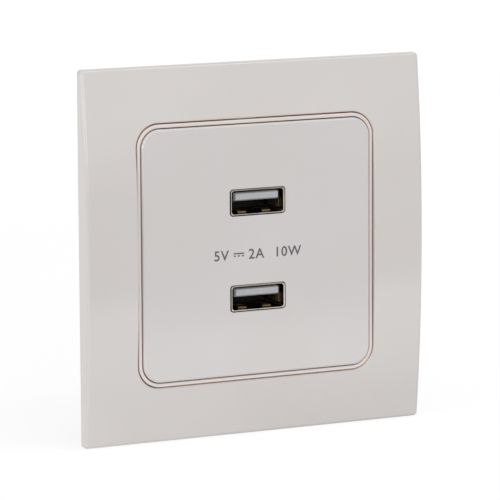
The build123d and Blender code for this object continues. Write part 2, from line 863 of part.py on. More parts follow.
def usb_springs():
    """Leaves on the four walls of a shell, with the slots that free them."""
    leaves = []
    slots = []
    half_z = port_height / 2
    half_x = port_width / 2
    front = -port_front + spring_front - spring_slot
    back = -port_front + spring_front + spring_length
    reach = spring_width / 2 + spring_slot
    for side, bulge in ((-1, spring_bulge), (1, spring_bulge * spring_top_share)):
        for x in (-spring_x, spring_x):
            leaf = extrude(Plane.YZ * spring_leaf(bulge), amount=spring_width / 2, both=True)
            leaf = Pos(x, 0, -half_z - spring_root_sink) * leaf
            leaves.append(leaf if side < 0 else mirror(leaf, about=Plane.XY))
            slots.append(block(x - reach, x + reach, front, back, side * half_z, side * shell_half_z))
    for side in (-1, 1):
        flat = Plane(origin=(0, 0, 0), x_dir=(0, 1, 0), z_dir=(0, 0, -1)) * spring_leaf(spring_bulge)
        leaf = extrude(flat, amount=spring_width / 2, both=True)
        leaf = Pos(-half_x - spring_root_sink, 0, side_spring_z) * leaf
        leaves.append(leaf if side < 0 else mirror(leaf, about=Plane.YZ))
        low, high = side_spring_z - reach, side_spring_z + reach
        slots.append(block(side * half_x, side * shell_half_x, front, back, low, high))
    return leaves, slots


def make_usb_shell(z):
    """Folded sheet shell of a receptacle, with its seam, springs and two legs."""
    outer = rounded(shell_half_x, shell_half_z, port_corner_r + port_sheet)
    inner = rounded(port_width / 2, port_height / 2, port_corner_r)
    body = slab(outer - inner, -port_front, front_board_level)
    leaves, slots = usb_springs()
    for slot in slots:
        body -= slot
    for leaf in leaves:
        body += leaf
    seam = port_seam / 2
    body -= block(-seam, seam, -port_front - 1, front_board_level + 1, -shell_half_z - 1, 0)
    for side in (-1, 1):
        x0 = side * port_width / 2
        body += block(x0, side * shell_half_x, front_board_level - join,
                      front_board_level + shell_leg_length, -shell_leg_width / 2, shell_leg_width / 2)
    return Pos(0, 0, z) * body


def contact_places():
    return (-contact_outer_x, -contact_inner_x, contact_inner_x, contact_outer_x)


def contact_bar(x, back):
    front = -port_front + tongue_recess + contact_recess
    return block(x - contact_width / 2, x + contact_width / 2, front, back,
                 contact_bottom, contact_bottom + contact_t)


def make_usb_insulator(z):
    """Moulded tongue with the base that closes the back of the shell."""
    front = -port_front + tongue_recess
    base_front = front_board_level - insulator_base
    tongue = block(-tongue_width / 2, tongue_width / 2, front, base_front + join, tongue_bottom, tongue_top)
    edges = [e for e in tongue.edges() if abs(e.center().Y - front) < 1e-3]
    tongue = chamfer(edges, tongue_chamfer)
    fit = insulator_play
    base_face = rounded(port_width / 2 - fit, port_height / 2 - fit, port_corner_r)
    base = slab(base_face, base_front, front_board_level)
    body = tongue + base
    for x in contact_places():
        body -= contact_bar(x, front_board_level + 1)
    return Pos(0, 0, z) * body


def make_usb_contacts(z):
    """Four sprung strips under the tongue, each ending in a pin through the front board."""
    back = front_board_level + front_board_t + lead_stick_out
    bars = [Pos(0, 0, z) * contact_bar(x, back) for x in contact_places()]
    return Compound(children=bars)


# The boards

def strip_places():
    start = strip_x - strip_pitch * (strip_pins - 1) / 2
    return [start + strip_pitch * i for i in range(strip_pins)]


def output_cap_places():
    return [-output_cap_pitch / 2, output_cap_pitch / 2]


def mains_cap_places():
    return [mains_cap_low_z, mains_cap_low_z + mains_cap_pitch]


def pair(x, z, pitch, along_x):
    """Two places a pitch apart, along X or Z."""
    if along_x:
        return [(x - pitch / 2, z), (x + pitch / 2, z)]
    return [(x, z - pitch / 2), (x, z + pitch / 2)]


def rear_board_leads():
    """Places of the round leads that pass through the rear board."""
    places = pair(choke_x, choke_z, choke_leads, True)
    places += pair(fuse_x, fuse_z, fuse_length + 2 * fuse_lead_reach, True)
    places += pair(disc_x, disc_z, disc_leads, False)
    for z in mains_cap_places():
        places += pair(mains_cap_x, z, mains_cap_leads, True)
    return places + bridge_lead_places() + bobbin_pins()


def bobbin_pins():
    z = core_height / 2 - core_yoke - bobbin_flange / 2
    return [(core_x + i * bobbin_pin_pitch, core_z + side * z) for i in (-1, 0, 1) for side in (-1, 1)]


def lead_holes(places, front, back):
    holes = [round_y(x, z, lead_r + lead_hole_play, front, back) for x, z in places]
    return holes


def make_usb_board():
    """Front board behind the receptacles."""
    face = chamfer(Rectangle(2 * board_half_x, 2 * board_half_z).vertices(), board_corner_cut)
    for z in ports.values():
        for x in contact_places():
            pin_z = z + contact_bottom + contact_t / 2
            face -= Pos(x, pin_z) * Rectangle(contact_width + board_gap_slot, contact_t + board_gap_slot)
        for side in (-1, 1):
            x = side * (port_width / 2 + port_sheet / 2)
            face -= Pos(x, z) * Rectangle(port_sheet + board_gap_slot, shell_leg_width + board_gap_slot)
    for x in strip_places():
        face -= Pos(x, strip_z) * Circle(strip_hole_r)
    for side in (-1, 1):
        for x in (-stake_x, stake_x):
            face -= Pos(x, side * (tower_half_z - stake_rib_t / 2)) * Circle(stake_r + stake_play)
    for x in output_cap_places():
        for lead_x, lead_z in pair(x, 0, output_cap_leads, False):
            face -= Pos(lead_x, lead_z) * Circle(lead_r + lead_hole_play)
    return slab(face, front_board_level, front_board_level + front_board_t)


def make_main_board():
    """Rear board with the mains side, cut short above the terminals."""
    height = board_half_z - rear_board_low_z
    centre = (board_half_z + rear_board_low_z) / 2
    face = Pos(0, centre) * chamfer(Rectangle(2 * board_half_x, height).vertices(), board_corner_cut)
    for x, z in rear_board_leads():
        face -= Pos(x, z) * Circle(lead_r + lead_hole_play)
    for x in strip_places():
        face -= Pos(x, strip_z) * Circle(strip_hole_r)
    for x in terminals.values():
        slot = Rectangle(bar_tail_width + board_gap_slot, bar_upright_t + board_gap_slot)
        face -= Pos(x, bar_tail_z) * slot
    return slab(face, rear_board_level, rear_board_level + rear_board_t)


def make_board_pins():
    """Pins that join the two boards."""
    front = front_board_level - lead_stick_out / 2
    back = rear_board_level + rear_board_t + lead_stick_out / 2
    h = strip_pin_half
    pins = [block(x - h, x + h, front, back, strip_z - h, strip_z + h) for x in strip_places()]
    return Compound(children=pins)


def make_pin_strip():
    """Moulded strip that holds the pins between the boards."""
    half = strip_pitch * strip_pins / 2
    body = block(strip_x - half, strip_x + half, rear_board_level - strip_block_h, rear_board_level,
                 strip_z - strip_pitch / 2, strip_z + strip_pitch / 2)
    h = strip_pin_half
    for x in strip_places():
        body -= block(x - h, x + h, 0, module_depth, strip_z - h, strip_z + h)
    return body


# Wired components

def rear_leads(places, top):
    """Straight leads from a component's underside through the rear board."""
    back = rear_board_level + rear_board_t + lead_stick_out
    return [round_y(x, z, lead_r, top, back) for x, z in places]


def can(radius, height, base_level, direction):
    """Round capacitor can with a crimped groove near its base, standing on a board."""
    waist = radius * (1 - can_bead_share)
    bead_mid = can_bead_start + can_bead_width / 2
    bead_end = can_bead_start + can_bead_width
    edge = radius * can_edge_share
    vent_r = radius * can_vent_share
    floor = height - can_vent_depth
    outline = Polyline((0, 0), (radius, 0), (radius, can_bead_start), (waist, bead_mid), (radius, bead_end),
                       (radius, height - edge), (radius - edge, height), (vent_r, height), (vent_r, floor),
                       (0, floor), close=True)
    body = revolve(Plane.XZ * make_face(outline), Axis.Z)
    return Plane(origin=(0, base_level, 0), z_dir=(0, direction, 0)) * body


def make_mains_capacitors():
    cans = []
    for z in mains_cap_places():
        body = Pos(mains_cap_x, 0, z) * can(mains_cap_r, mains_cap_h, rear_board_level, -1)
        for lead in rear_leads(pair(mains_cap_x, z, mains_cap_leads, True), rear_board_level - join):
            body += lead
        cans.append(body)
    return Compound(children=cans)


def make_output_capacitors():
    cans = []
    back = front_board_level + front_board_t + lead_stick_out
    for x in output_cap_places():
        body = Pos(x, 0, 0) * can(output_cap_r, output_cap_h, front_board_level, -1)
        for lead_x, lead_z in pair(x, 0, output_cap_leads, False):
            body += round_y(lead_x, lead_z, lead_r, front_board_level - join, back)
        cans.append(body)
    return Compound(children=cans)


def make_transformer_core():
    """Ferrite core of two E halves glued into one ring with a middle leg."""
    face = Rectangle(core_width, core_height)
    window_x = (core_width - core_leg) / 2 - core_side_leg
    offset = core_leg / 2 + window_x / 2
    for side in (-1, 1):
        face -= Pos(side * offset, 0) * Rectangle(window_x, core_height - 2 * core_yoke)
    return slab(Pos(core_x, core_z) * face, core_level - core_t / 2, core_level + core_t / 2)


def make_transformer_bobbin():
    """Spool round the core's middle leg, with six pins into the rear board."""
    half_leg = core_leg / 2
    tube_x = half_leg + bobbin_wall
    tube_y = core_t / 2 + bobbin_wall
    half_z = core_height / 2 - core_yoke
    body = block(-tube_x, tube_x, -tube_y, tube_y, -half_z, half_z)
    for side in (-1, 1):
        z1 = side * half_z
        z0 = z1 - side * bobbin_flange
        body += block(-bobbin_half_x, bobbin_half_x, -bobbin_half_y, bobbin_half_y, z0, z1)
    body -= block(-half_leg, half_leg, -core_t / 2, core_t / 2, -half_z - 1, half_z + 1)
    body = Pos(core_x, core_level, core_z) * body
    for lead in rear_leads(bobbin_pins(), core_level + bobbin_half_y - join):
        body += lead
    return body


def make_transformer_winding():
    """Taped winding wound on the bobbin."""
    half_z = core_height / 2 - core_yoke - bobbin_flange
    outer_x = bobbin_half_x - winding_inset
    outer_y = bobbin_half_y - winding_inset
    face = RectangleRounded(2 * outer_x, 2 * outer_y, winding_corner_r)
    face -= Rectangle(core_leg + 2 * bobbin_wall, core_t + 2 * bobbin_wall)
    ring = extrude(face, amount=half_z, both=True)
    return Pos(core_x, core_level, core_z) * ring


def make_filter_choke():
    """Drum choke standing on the rear board, its winding between two flanges."""
    flange = choke_h * choke_flange_share
    waist = choke_r - choke_groove
    outline = Polyline((0, 0), (choke_r, 0), (choke_r, flange), (waist, flange), (waist, choke_h - flange),
                       (choke_r, choke_h - flange), (choke_r, choke_h), (0, choke_h), close=True)
    drum = revolve(Plane.XZ * make_face(outline), Axis.Z)
    body = Plane(origin=(choke_x, rear_board_level, choke_z), z_dir=(0, -1, 0)) * drum
    for lead in rear_leads(pair(choke_x, choke_z, choke_leads, True), rear_board_level - join):
        body += lead
    return body


def make_fuse_resistor():
    """Fusible resistor lying on the rear board, with its two leads bent down."""
    axis_y = rear_board_level - fuse_r - fuse_lift
    half = fuse_length / 2
    waist = fuse_r * fuse_waist_share
    shoulder = half - fuse_cap_edge
    slope = half - fuse_cap_length + fuse_cap_edge
    neck = half - fuse_cap_length
    right = [(neck, waist), (slope, fuse_r), (shoulder, fuse_r), (half, waist), (half, 0)]
    left = [(-x, r) for x, r in reversed(right)]
    body = revolve(make_face(Polyline(left + right, close=True)), Axis.X)
    body = Pos(fuse_x, axis_y, fuse_z) * body
    for side in (-1, 1):
        start = fuse_x + side * (half - join)
        body += bent_lead(start, fuse_x + side * (half + fuse_lead_reach), axis_y, fuse_z)
    return body


def bent_lead(start_x, end_x, level, z):
    """Lead that runs out along X and then turns down through the rear board."""
    back = rear_board_level + rear_board_t + lead_stick_out
    path = FilletPolyline((start_x, level, z), (end_x, level, z), (end_x, back, z), radius=lead_bend_r)
    way = 1 if end_x > start_x else -1
    return sweep(Plane(origin=(start_x, level, z), z_dir=(way, 0, 0)) * Circle(lead_r), path=path)


def make_safety_capacitor():
    """Disc capacitor standing on edge on the rear board."""
    axis_y = rear_board_level - disc_r - disc_lift
    disc = Rot(0, 90, 0) * Cylinder(disc_r, disc_t)
    disc = fillet(disc.edges(), disc_t * disc_edge_share)
    body = Pos(disc_x, axis_y, disc_z) * disc
    for lead in rear_leads(pair(disc_x, disc_z, disc_leads, False), axis_y + disc_r * disc_lead_share):
        body += lead
    return body


def make_bridge_rectifier():
    """Small moulded rectifier with four legs in the rear board."""
    underside = rear_board_level - bridge_lift
    body = block(bridge_x - bridge_width / 2, bridge_x + bridge_width / 2, underside - bridge_h, underside,
                 bridge_z - bridge_length / 2, bridge_z + bridge_length / 2)
    leg_front = underside - (bridge_h + bridge_leg_t) / 2
    for x, z in bridge_lead_places():
        body += block(x - lead_r, x + lead_r, leg_front, leg_front + bridge_leg_t, bridge_z, z)
    for lead in rear_leads(bridge_lead_places(), leg_front):
        body += lead
    return body


def bridge_lead_places():
    places = []
    for offset in (-bridge_leads, bridge_leads):
        places += pair(bridge_x + offset, bridge_z, bridge_leads * 2, False)
    return places


def surface_chip(width, length, height):
    """Flat moulded chip with gull feet along two sides, lying on z = 0."""
    body = Pos(0, 0, height / 2 + foot_t / 2) * Box(width, length, height - foot_t)
    start = -(feet_per_side - 1) / 2 * foot_pitch
    for i in range(feet_per_side):
        low = start + i * foot_pitch - foot_width / 2
        high = low + foot_width
        for side in (-1, 1):
            inner = side * (width / 2 - join)
            knee = side * (width / 2 + foot_reach * foot_knee_share)
            outer = side * (width / 2 + foot_reach)
            top = height / 2 + foot_t / 2
            body += block(inner, knee, low, high, top - foot_t, top)
            body += block(knee - side * foot_t, knee, low, high, 0, top)
            body += block(knee - side * foot_t, outer, low, high, 0, foot_t)
    return body


def make_power_chip():
    """Switching chip on the front face of the rear board."""
    seat = Plane(origin=(chip_x, rear_board_level, chip_z), x_dir=(1, 0, 0), z_dir=(0, -1, 0))
    return seat * surface_chip(chip_width, chip_length, chip_h)


def make_port_controller():
    """Charging chip on the back of the front board."""
    back = front_board_level + front_board_t
    seat = Plane(origin=(0, back, controller_z), x_dir=(1, 0, 0), z_dir=(0, 1, 0))
    return seat * surface_chip(controller_width, controller_length, controller_h)


def make_output_diode():
    """Output diode on the back of the front board, with a folded foot at each end."""
    body = Pos(0, 0, diode_h / 2 + foot_t / 2) * Box(diode_width, diode_length, diode_h - foot_t)
    w = diode_foot_half
    for side in (-1, 1):
        edge = side * diode_length / 2
        outer = edge + side * diode_foot_out
        body += block(-w, w, edge - side * diode_foot_under, outer, 0, foot_t)
        body += block(-w, w, edge, outer, 0, diode_h / 2)
    seat = Plane(origin=(0, front_board_level + front_board_t, diode_z), x_dir=(0, 0, 1), z_dir=(0, 1, 0))
    return seat * body


# The terminals

def make_terminal_bar(x):
    """Bent bar that a wire is clamped against, with a tail soldered into the rear board."""
    half = bar_width / 2
    tail = bar_tail_width / 2
    back = module_depth - module_wall
    body = block(x - half, x + half, bar_front_y, back, bar_bottom, bar_z)
    top = bar_tail_z + bar_upright_t / 2
    body += block(x - half, x + half, bar_front_y, bar_front_y + bar_upright_t, bar_bottom, top)
    body += block(x - tail, x + tail, bar_front_y, rear_board_level + rear_board_t + lead_stick_out / 2,
                  bar_tail_z - bar_upright_t / 2, top)
    return body


def make_terminal_cage(x):
    """Square clamp cage that the screw draws against the bar, shown open."""
    z_mid = (cage_top + cage_bottom) / 2
    body = Pos(x, terminal_y, z_mid) * Box(cage_width, cage_depth, cage_top - cage_bottom)
    inner_top = cage_top - cage_side_wall
    body = fillet(body.edges().filter_by(Axis.Y), cage_edge_r)
    half = cage_width / 2 - cage_side_wall
    body -= block(x - half, x + half, 0, module_depth, cage_bottom + cage_nut_wall, inner_top)
    return body - Pos(x, terminal_y, cage_bottom) * Cylinder(terminal_shank_r + terminal_thread_fit, 4)


def make_terminal_screw(x):
    """Captive clamping screw, driven from below through the housing."""
    length = (bar_bottom - terminal_end_play / 2) - (terminal_head_z + terminal_head_h)
    seat = Plane(origin=(x, terminal_y, terminal_head_z + terminal_head_h), z_dir=(0, 0, -1))
    return seat * screw(terminal_head_r, terminal_head_h, terminal_shank_r, length, 1)


def parts():
    made = {
        "bezel_frame": make_bezel_frame(),
        "trim_ring": make_trim_ring(),
        "centre_plate": make_centre_plate(),
        "mounting_plate": make_mounting_plate(),
        "claw_pins": make_claw_pins(),
        "plate_rivets": make_plate_rivets(),
        "module_front": make_module_front(),
        "module_rear": make_module_rear(),
        "module_screws": make_module_screws(),
        "usb_board": make_usb_board(),
        "main_board": make_main_board(),
        "board_pins": make_board_pins(),
        "pin_strip": make_pin_strip(),
        "mains_capacitors": make_mains_capacitors(),
        "output_capacitors": make_output_capacitors(),
        "transformer_core": make_transformer_core(),
        "transformer_bobbin": make_transformer_bobbin(),
        "transformer_winding": make_transformer_winding(),
        "filter_choke": make_filter_choke(),
        "fuse_resistor": make_fuse_resistor(),
        "safety_capacitor": make_safety_capacitor(),
        "bridge_rectifier": make_bridge_rectifier(),
        "power_chip": make_power_chip(),
        "port_controller": make_port_controller(),
        "output_diode": make_output_diode(),
    }
    for name, z in ports.items():
        made["usb_shell_" + name] = make_usb_shell(z)
        made["usb_insulator_" + name] = make_usb_insulator(z)
        made["usb_contacts_" + name] = make_usb_contacts(z)
    for name, side in sides.items():
        made["claw_" + name] = make_claw(side)
        made["claw_screw_" + name] = make_claw_screw(side)
        made["retaining_ring_" + name] = make_retaining_ring(side)
    for name, x in terminals.items():
        made["terminal_bar_" + name] = make_terminal_bar(x)
        made["terminal_cage_" + name] = make_terminal_cage(x)
        made["terminal_screw_" + name] = make_terminal_screw(x)
    return made


os.makedirs("parts", exist_ok=True)
for node, shape in parts().items():
    export_step(shape, f"parts/{node}.step")
    print(node, round(shape.volume, 2))
claw_screw_way = claw_lever * (sin(radians(claw_rest_angle)) - sin(radians(claw_rest_angle - claw_swing)))
print("claw screw turns", round(claw_screw_way / claw_screw_thread, 3))
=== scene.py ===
# %% [markdown]
# # A wall socket with two USB ports
# This lesson dresses a finished engineering model of a charging socket. The model already has every
# real piece in its place: the frame, the ring and the plate in front, the ports, and the charger and
# the claws behind. So the work here is what engineering leaves out: a photographer's light, the finish
# of each material, and the small things that repeat or are printed, such as screw threads. A scene like
# this could also be built by hand in Blender's windows. A script says each step in words, and it can be
# run again when the model changes.
# All lengths are in metres, with +X to the right, +Z up and +Y into the wall.

# %% Load the model
import json
from math import cos, pi, radians, sin

import bmesh
import bpy
from mathutils import Matrix, Vector


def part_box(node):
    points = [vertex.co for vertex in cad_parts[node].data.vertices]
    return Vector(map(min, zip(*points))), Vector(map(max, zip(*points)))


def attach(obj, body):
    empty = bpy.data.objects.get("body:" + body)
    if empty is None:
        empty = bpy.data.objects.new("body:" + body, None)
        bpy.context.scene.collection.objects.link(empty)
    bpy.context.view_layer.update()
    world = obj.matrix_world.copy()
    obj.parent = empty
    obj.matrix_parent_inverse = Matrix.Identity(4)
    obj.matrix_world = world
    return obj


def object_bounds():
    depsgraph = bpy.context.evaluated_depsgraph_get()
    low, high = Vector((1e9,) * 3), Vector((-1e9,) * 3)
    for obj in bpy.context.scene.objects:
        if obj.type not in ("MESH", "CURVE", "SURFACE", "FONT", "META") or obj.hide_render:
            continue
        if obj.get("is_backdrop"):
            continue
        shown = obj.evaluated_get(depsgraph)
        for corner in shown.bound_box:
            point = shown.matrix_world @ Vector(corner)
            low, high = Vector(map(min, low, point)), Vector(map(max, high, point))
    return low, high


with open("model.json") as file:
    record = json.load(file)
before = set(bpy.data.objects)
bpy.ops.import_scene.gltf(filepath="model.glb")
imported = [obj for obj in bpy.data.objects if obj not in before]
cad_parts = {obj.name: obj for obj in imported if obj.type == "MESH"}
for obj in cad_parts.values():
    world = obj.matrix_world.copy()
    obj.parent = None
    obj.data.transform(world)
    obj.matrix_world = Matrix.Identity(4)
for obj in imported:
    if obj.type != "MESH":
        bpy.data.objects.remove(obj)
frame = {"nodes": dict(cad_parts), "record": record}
cad_low, cad_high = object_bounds()
nodes = frame["nodes"]
mm = 0.001
size = [round(v / mm, 2) for v in cad_high - cad_low]
print("the model has", len(nodes), "pieces and is", size, "mm")

# %% [markdown]
# ## The camera
# A product this flat is photographed from one side and a little above, so that its thickness shows, with
# a long lens, which keeps the upright edges almost parallel. A camera could be aimed with a constraint,
# but three plain vectors say the same and leave nothing live: the line of sight, the side of the sensor
# and its top. A small roll stands for a tripod that isn't quite level.

# %% Place the camera
camera_place = Vector((-356.1, -716.7, 119.5)) * mm
rim_centre = Vector((0.0, -3.0, 0.0)) * mm
aim_drop = 0.63 * mm
aim_left = 0.11 * mm
camera_roll = radians(-0.31)
lens_mm = 266.4


def frame_of_view(place, target, roll):
    """Turns a camera towards a target, with +Z up and then a roll about the line of sight."""
    ahead = (target - place).normalized()
    right = ahead.cross(Vector((0, 0, 1))).normalized()
    up = right.cross(ahead)
    side = right * cos(roll) + up * sin(roll)
    top = up * cos(roll) - right * sin(roll)
    return Matrix((side, top, -ahead)).transposed()


straight = frame_of_view(camera_place, rim_centre, camera_roll)
aim = rim_centre - straight.col[1] * aim_drop - straight.col[0] * aim_left
turn = frame_of_view(camera_place, aim, camera_roll)
camera = bpy.data.objects.new("camera", bpy.data.cameras.new("camera"))
bpy.context.scene.collection.objects.link(camera)
camera.matrix_world = Matrix.Translation(camera_place) @ turn.to_4x4()
camera.data.lens = lens_mm
camera.data.sensor_width = 36.0
camera.data.clip_start = 0.05
bpy.context.scene.camera = camera
bpy.context.scene.view_settings.view_transform = "Standard"
print("camera", round((camera_place - rim_centre).length / mm, 1), "mm from the socket")

# %% [markdown]
# ## A short way to write finishes
# A material in Blender is a tree of nodes. It could be wired node by node, but then the wiring hides what
# the finish is. This small class adds a node and feeds its sockets in one line, for any shader tree.
# Its last function tells rays apart, which the table and the room need: what the camera sees straight,
# what it sees in a mirror or through glass, and what only lights the object.

# %% Wiring for any shader tree
class Wiring:
    """Short ways to add and join shader nodes."""

    def __init__(self, tree):
        self.tree = tree

    def feed(self, socket, value):
        """Links a socket to another, or sets it to a plain value."""
        if isinstance(value, bpy.types.NodeSocket):
            self.tree.links.new(value, socket)
        else:
            socket.default_value = value

    def node(self, kind, inputs=(), **settings):
        made = self.tree.nodes.new("ShaderNode" + kind)
        for key, value in settings.items():
            setattr(made, key, value)
        for socket, value in dict(inputs).items():
            self.feed(made.inputs[socket], value)
        return made

    def math(self, operation, a, b=0.0, c=0.0):
        return self.node("Math", {0: a, 1: b, 2: c}, operation=operation).outputs[0]

    def spread(self, value, low, high, new_low=0.0, new_high=1.0):
        """Stretches the part of a texture between two levels over a new range."""
        inputs = {"Value": value, "From Min": low, "From Max": high, "To Min": new_low, "To Max": new_high}
        return self.node("MapRange", inputs).outputs["Result"]

    def rays(self, camera, mirrored):
        """One value for what the camera sees straight, another for reflections, and 0 for other light."""
        path = self.node("LightPath")
        seen = self.math("MULTIPLY", path.outputs["Is Camera Ray"], camera)
        seen = self.math("MULTIPLY_ADD", path.outputs["Is Glossy Ray"], mirrored, seen)
        return self.math("MULTIPLY_ADD", path.outputs["Is Transmission Ray"], mirrored, seen)


def skills(helper):
    """Names of the functions that a class adds."""
    return ", ".join(name for name in vars(helper) if not name.startswith("_"))


print("wiring can", skills(Wiring))

# %% [markdown]
# A finish is that wiring with one Principled shader at its end. Textures could be painted and wrapped
# round each piece, but a procedural one needs no unwrapping, holds at any distance and fits a piece that
# changes size, so the textures here are noise, cells and bands, read in the piece's own coordinates.
# Sizes are given in millimetres, as they would be measured on the object, and each relief is a real
# height.

# %% The finish helper
class Finish(Wiring):
    """A material under construction, with short ways to add textures in millimetres."""

    def __init__(self, name, colour, roughness, metallic=0.0):
        self.material = bpy.data.materials.new(name)
        self.material.use_nodes = True
        super().__init__(self.material.node_tree)
        self.shader = self.tree.nodes["Principled BSDF"]
        self.shader.inputs["Base Color"].default_value = (*colour, 1)
        self.shader.inputs["Roughness"].default_value = roughness
        self.shader.inputs["Metallic"].default_value = metallic
        self.place = self.node("TexCoord").outputs["Object"]
        self.normal = None

    def place_scaled(self, stretch):
        """Coordinates in which a pattern grows by the stretch along each axis."""
        scale = tuple(1 / s for s in stretch)
        return self.node("Mapping", {"Vector": self.place, "Scale": scale}).outputs["Vector"]

    def noise(self, size, stretch=(1, 1, 1), detail=3.0):
        """Cloudy texture whose blots are about the size given."""
        inputs = {"Vector": self.place_scaled(stretch), "Scale": 1 / (size * mm), "Detail": detail}
        return self.node("TexNoise", inputs).outputs["Fac"]

    def cells(self, size, stretch=(1, 1, 1), output="Distance", feature="F1"):
        """Cell texture whose cells are about the size given."""
        inputs = {"Vector": self.place_scaled(stretch), "Scale": 1 / (size * mm)}
        return self.node("TexVoronoi", inputs, feature=feature).outputs[output]

    def bands(self, pitch, axis, distortion=0.0):
        """Soft stripes across an axis, from 0 to 1 and back in each pitch."""
        inputs = {"Vector": self.place, "Scale": pi / 10 / (pitch * mm), "Distortion": distortion}
        return self.node("TexWave", inputs, bands_direction=axis).outputs["Fac"]

    def along(self, axis):
        """Place along one axis, in metres."""
        return self.node("SeparateXYZ", {"Vector": self.place}).outputs[axis]

    def above(self, axis, level, soft=0.02):
        """1 past a level in millimetres along an axis and 0 before it."""
        return self.spread(self.along(axis), (level - soft) * mm, (level + soft) * mm)

    def outside(self, axis, centre, half, soft=0.02):
        """1 where an axis is further from a centre than half, in millimetres."""
        away = self.math("ABSOLUTE", self.math("SUBTRACT", self.along(axis), centre * mm))
        return self.spread(away, (half - soft) * mm, (half + soft) * mm)

    def mix(self, factor, a, b):
        """Colour a where the factor is 0 and colour b where it is 1."""
        a, b = ((*c, 1) if isinstance(c, tuple) else c for c in (a, b))
        return self.node("Mix", {0: factor, 6: a, 7: b}, data_type="RGBA").outputs[2]

    def colour(self, socket):
        self.tree.links.new(socket, self.shader.inputs["Base Color"])

    def roughness(self, socket):
        self.tree.links.new(socket, self.shader.inputs["Roughness"])

    def metal(self, socket):
        self.tree.links.new(socket, self.shader.inputs["Metallic"])

    def relief(self, height, depth):
        """Bump of a real depth in millimetres, on top of the ones before."""
        made = self.node("Bump", {"Height": height, "Distance": depth * mm, "Strength": 1.0})
        if self.normal is not None:
            self.tree.links.new(self.normal, made.inputs["Normal"])
        self.normal = made.outputs["Normal"]
        self.tree.links.new(self.normal, self.shader.inputs["Normal"])


def scaled(colour, *factors):
    """A colour made lighter, darker or warmer by one factor or by three."""
    if len(factors) == 1:
        factors = factors * 3
    return tuple(min(1.0, c * f) for c, f in zip(colour, factors))


print("a finish can also", skills(Finish))

# %% [markdown]
# ## The studio
# The socket stands on a pale table in a white room. White in a picture can come from strong lamps, but
# they would bleach the plastic too. Here the table shows white to the camera by a glow of its own, mixed
# with enough plain board that the socket's shadow still falls on it.
# Gloss plastic mirrors the table, so how bright the table looks in a mirror decides the tone of the lower
# half of the plate. The table's glow in mirrors paints that reflection: a bright zone before the socket,
# darker past its edge, and dimmer again close to the socket's foot, as a painted shadow of the socket.

# %% Table
floor_gap = 0.05 * mm
floor_half = 4.0
board_white = (0.82, 0.82, 0.82)
glow_seen = 0.72
glow_mirrored = 0.95
table_seen_near = 1.12
table_seen_far = 1.26
table_mirrored_near = 1.65
table_mirrored_far = 0.15
table_mirrored_foot_shade = 0.75
bright_zone_edge = -140.0
bright_zone_edge_soft = 15.0
foot_reach = 45.0
foot_left = -35.0


def link_mesh(name, mesh):
    """Object at the origin for a mesh."""
    made = bpy.data.objects.new(name, mesh)
    bpy.context.scene.collection.objects.link(made)
    return made


def table_finish():
    """Matt white board that shows white to the camera and still takes the socket's shadow; in mirrors it
    glows in zones, as a painted reflection.
    """
    made = Finish("table_board", board_white, 1.0)
    made.shader.inputs["Specular IOR Level"].default_value = 0.0
    distance = made.node("VectorMath", {0: made.place}, operation="LENGTH").outputs["Value"]
    seen = made.spread(distance, 0.3, 1.5, table_seen_near, table_seen_far)
    # Painted reflection: in mirrors the table glows bright before the socket and dark past the edge of that
    # zone.
    mirrored = made.above("Y", bright_zone_edge, soft=bright_zone_edge_soft)
    mirrored = made.spread(mirrored, 0.0, 1.0, table_mirrored_far, table_mirrored_near)
    # Painted shadow: near the socket's foot the mirrored glow is dimmer.
    foot = made.math("MULTIPLY", made.above("Y", -foot_reach * 0.67, soft=foot_reach * 0.33),
                     made.above("X", foot_left + foot_reach / 2, soft=foot_reach / 2))
    away = made.math("SUBTRACT", 1.0, foot)
    mirrored = made.math("MULTIPLY_ADD", foot, table_mirrored_foot_shade, made.math("MULTIPLY", away, mirrored))
    share = made.rays(glow_seen, glow_mirrored)
    made.colour(made.mix(share, board_white, (0.0, 0.0, 0.0)))
    made.shader.inputs["Emission Color"].default_value = (1, 1, 1, 1)
    seen = made.math("MULTIPLY", seen, glow_seen)
    mirrored = made.math("MULTIPLY", mirrored, glow_mirrored)
    made.feed(made.shader.inputs["Emission Strength"], made.rays(seen, mirrored))
    return made.material


table_level = cad_low.z - floor_gap
round_the_table = ((-1, -1), (1, -1), (1, 1), (-1, 1))
table = bpy.data.meshes.new("table")
table.from_pydata([(x * floor_half, y * floor_half, table_level) for x, y in round_the_table],
                  [], [(0, 1, 2, 3)])
table.materials.append(table_finish())
link_mesh("table", table)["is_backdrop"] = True
print("table at", round(table_level / mm, 2), "mm")

# %% [markdown]
# The room has no walls: the world's own colour stands for them. It could have one strength for every ray,
# but then a white background would also be a strong light and would wash the plastic out. With the kinds
# of ray told apart, the camera and the reflections get white, and the light that falls on the plastic
# stays at two thirds of it.

# %% Room
room_light = 0.66
room = bpy.data.worlds.new("room")
bpy.context.scene.world = room
room.use_nodes = True
walls = Wiring(room.node_tree)
back = room.node_tree.nodes["Background"]
back.inputs["Color"].default_value = (1, 1, 1, 1)
walls.feed(back.inputs["Strength"], walls.math("MAXIMUM", walls.rays(1.0, 1.0), room_light))
print("room gives", room_light, "of white")

# %% [markdown]
# ## The lamps
# Small objects are lit with big soft lamps, so that shadows have no hard edge. A sun or a point lamp would
# be shorter to write, but polished plastic would mirror it as a hard spot. A softbox hangs above and to
# the right, where the rounded top edges mirror it towards the camera as thin bright lines, and two more
# fill in from the front and from the left.
# The power of a lamp that makes a white card read 1 at a distance is pi squared times the distance
# squared, which makes the levels below easy to read: each is the share of white that the lamp gives.

# %% Softboxes
def softbox(name, place, size, level):
    """Square area lamp aimed at the socket, that lights a white card facing it to the level given."""
    lamp = bpy.data.lights.new(name, "AREA")
    lamp.shape = "SQUARE"
    lamp.size = size
    spot = Vector(place)
    lamp.energy = level * pi**2 * spot.length_squared
    made = bpy.data.objects.new(name, lamp)
    bpy.context.scene.collection.objects.link(made)
    made.matrix_world = Matrix.Translation(spot) @ spot.to_track_quat("Z", "Y").to_matrix().to_4x4()
    made.visible_camera = False
    return made


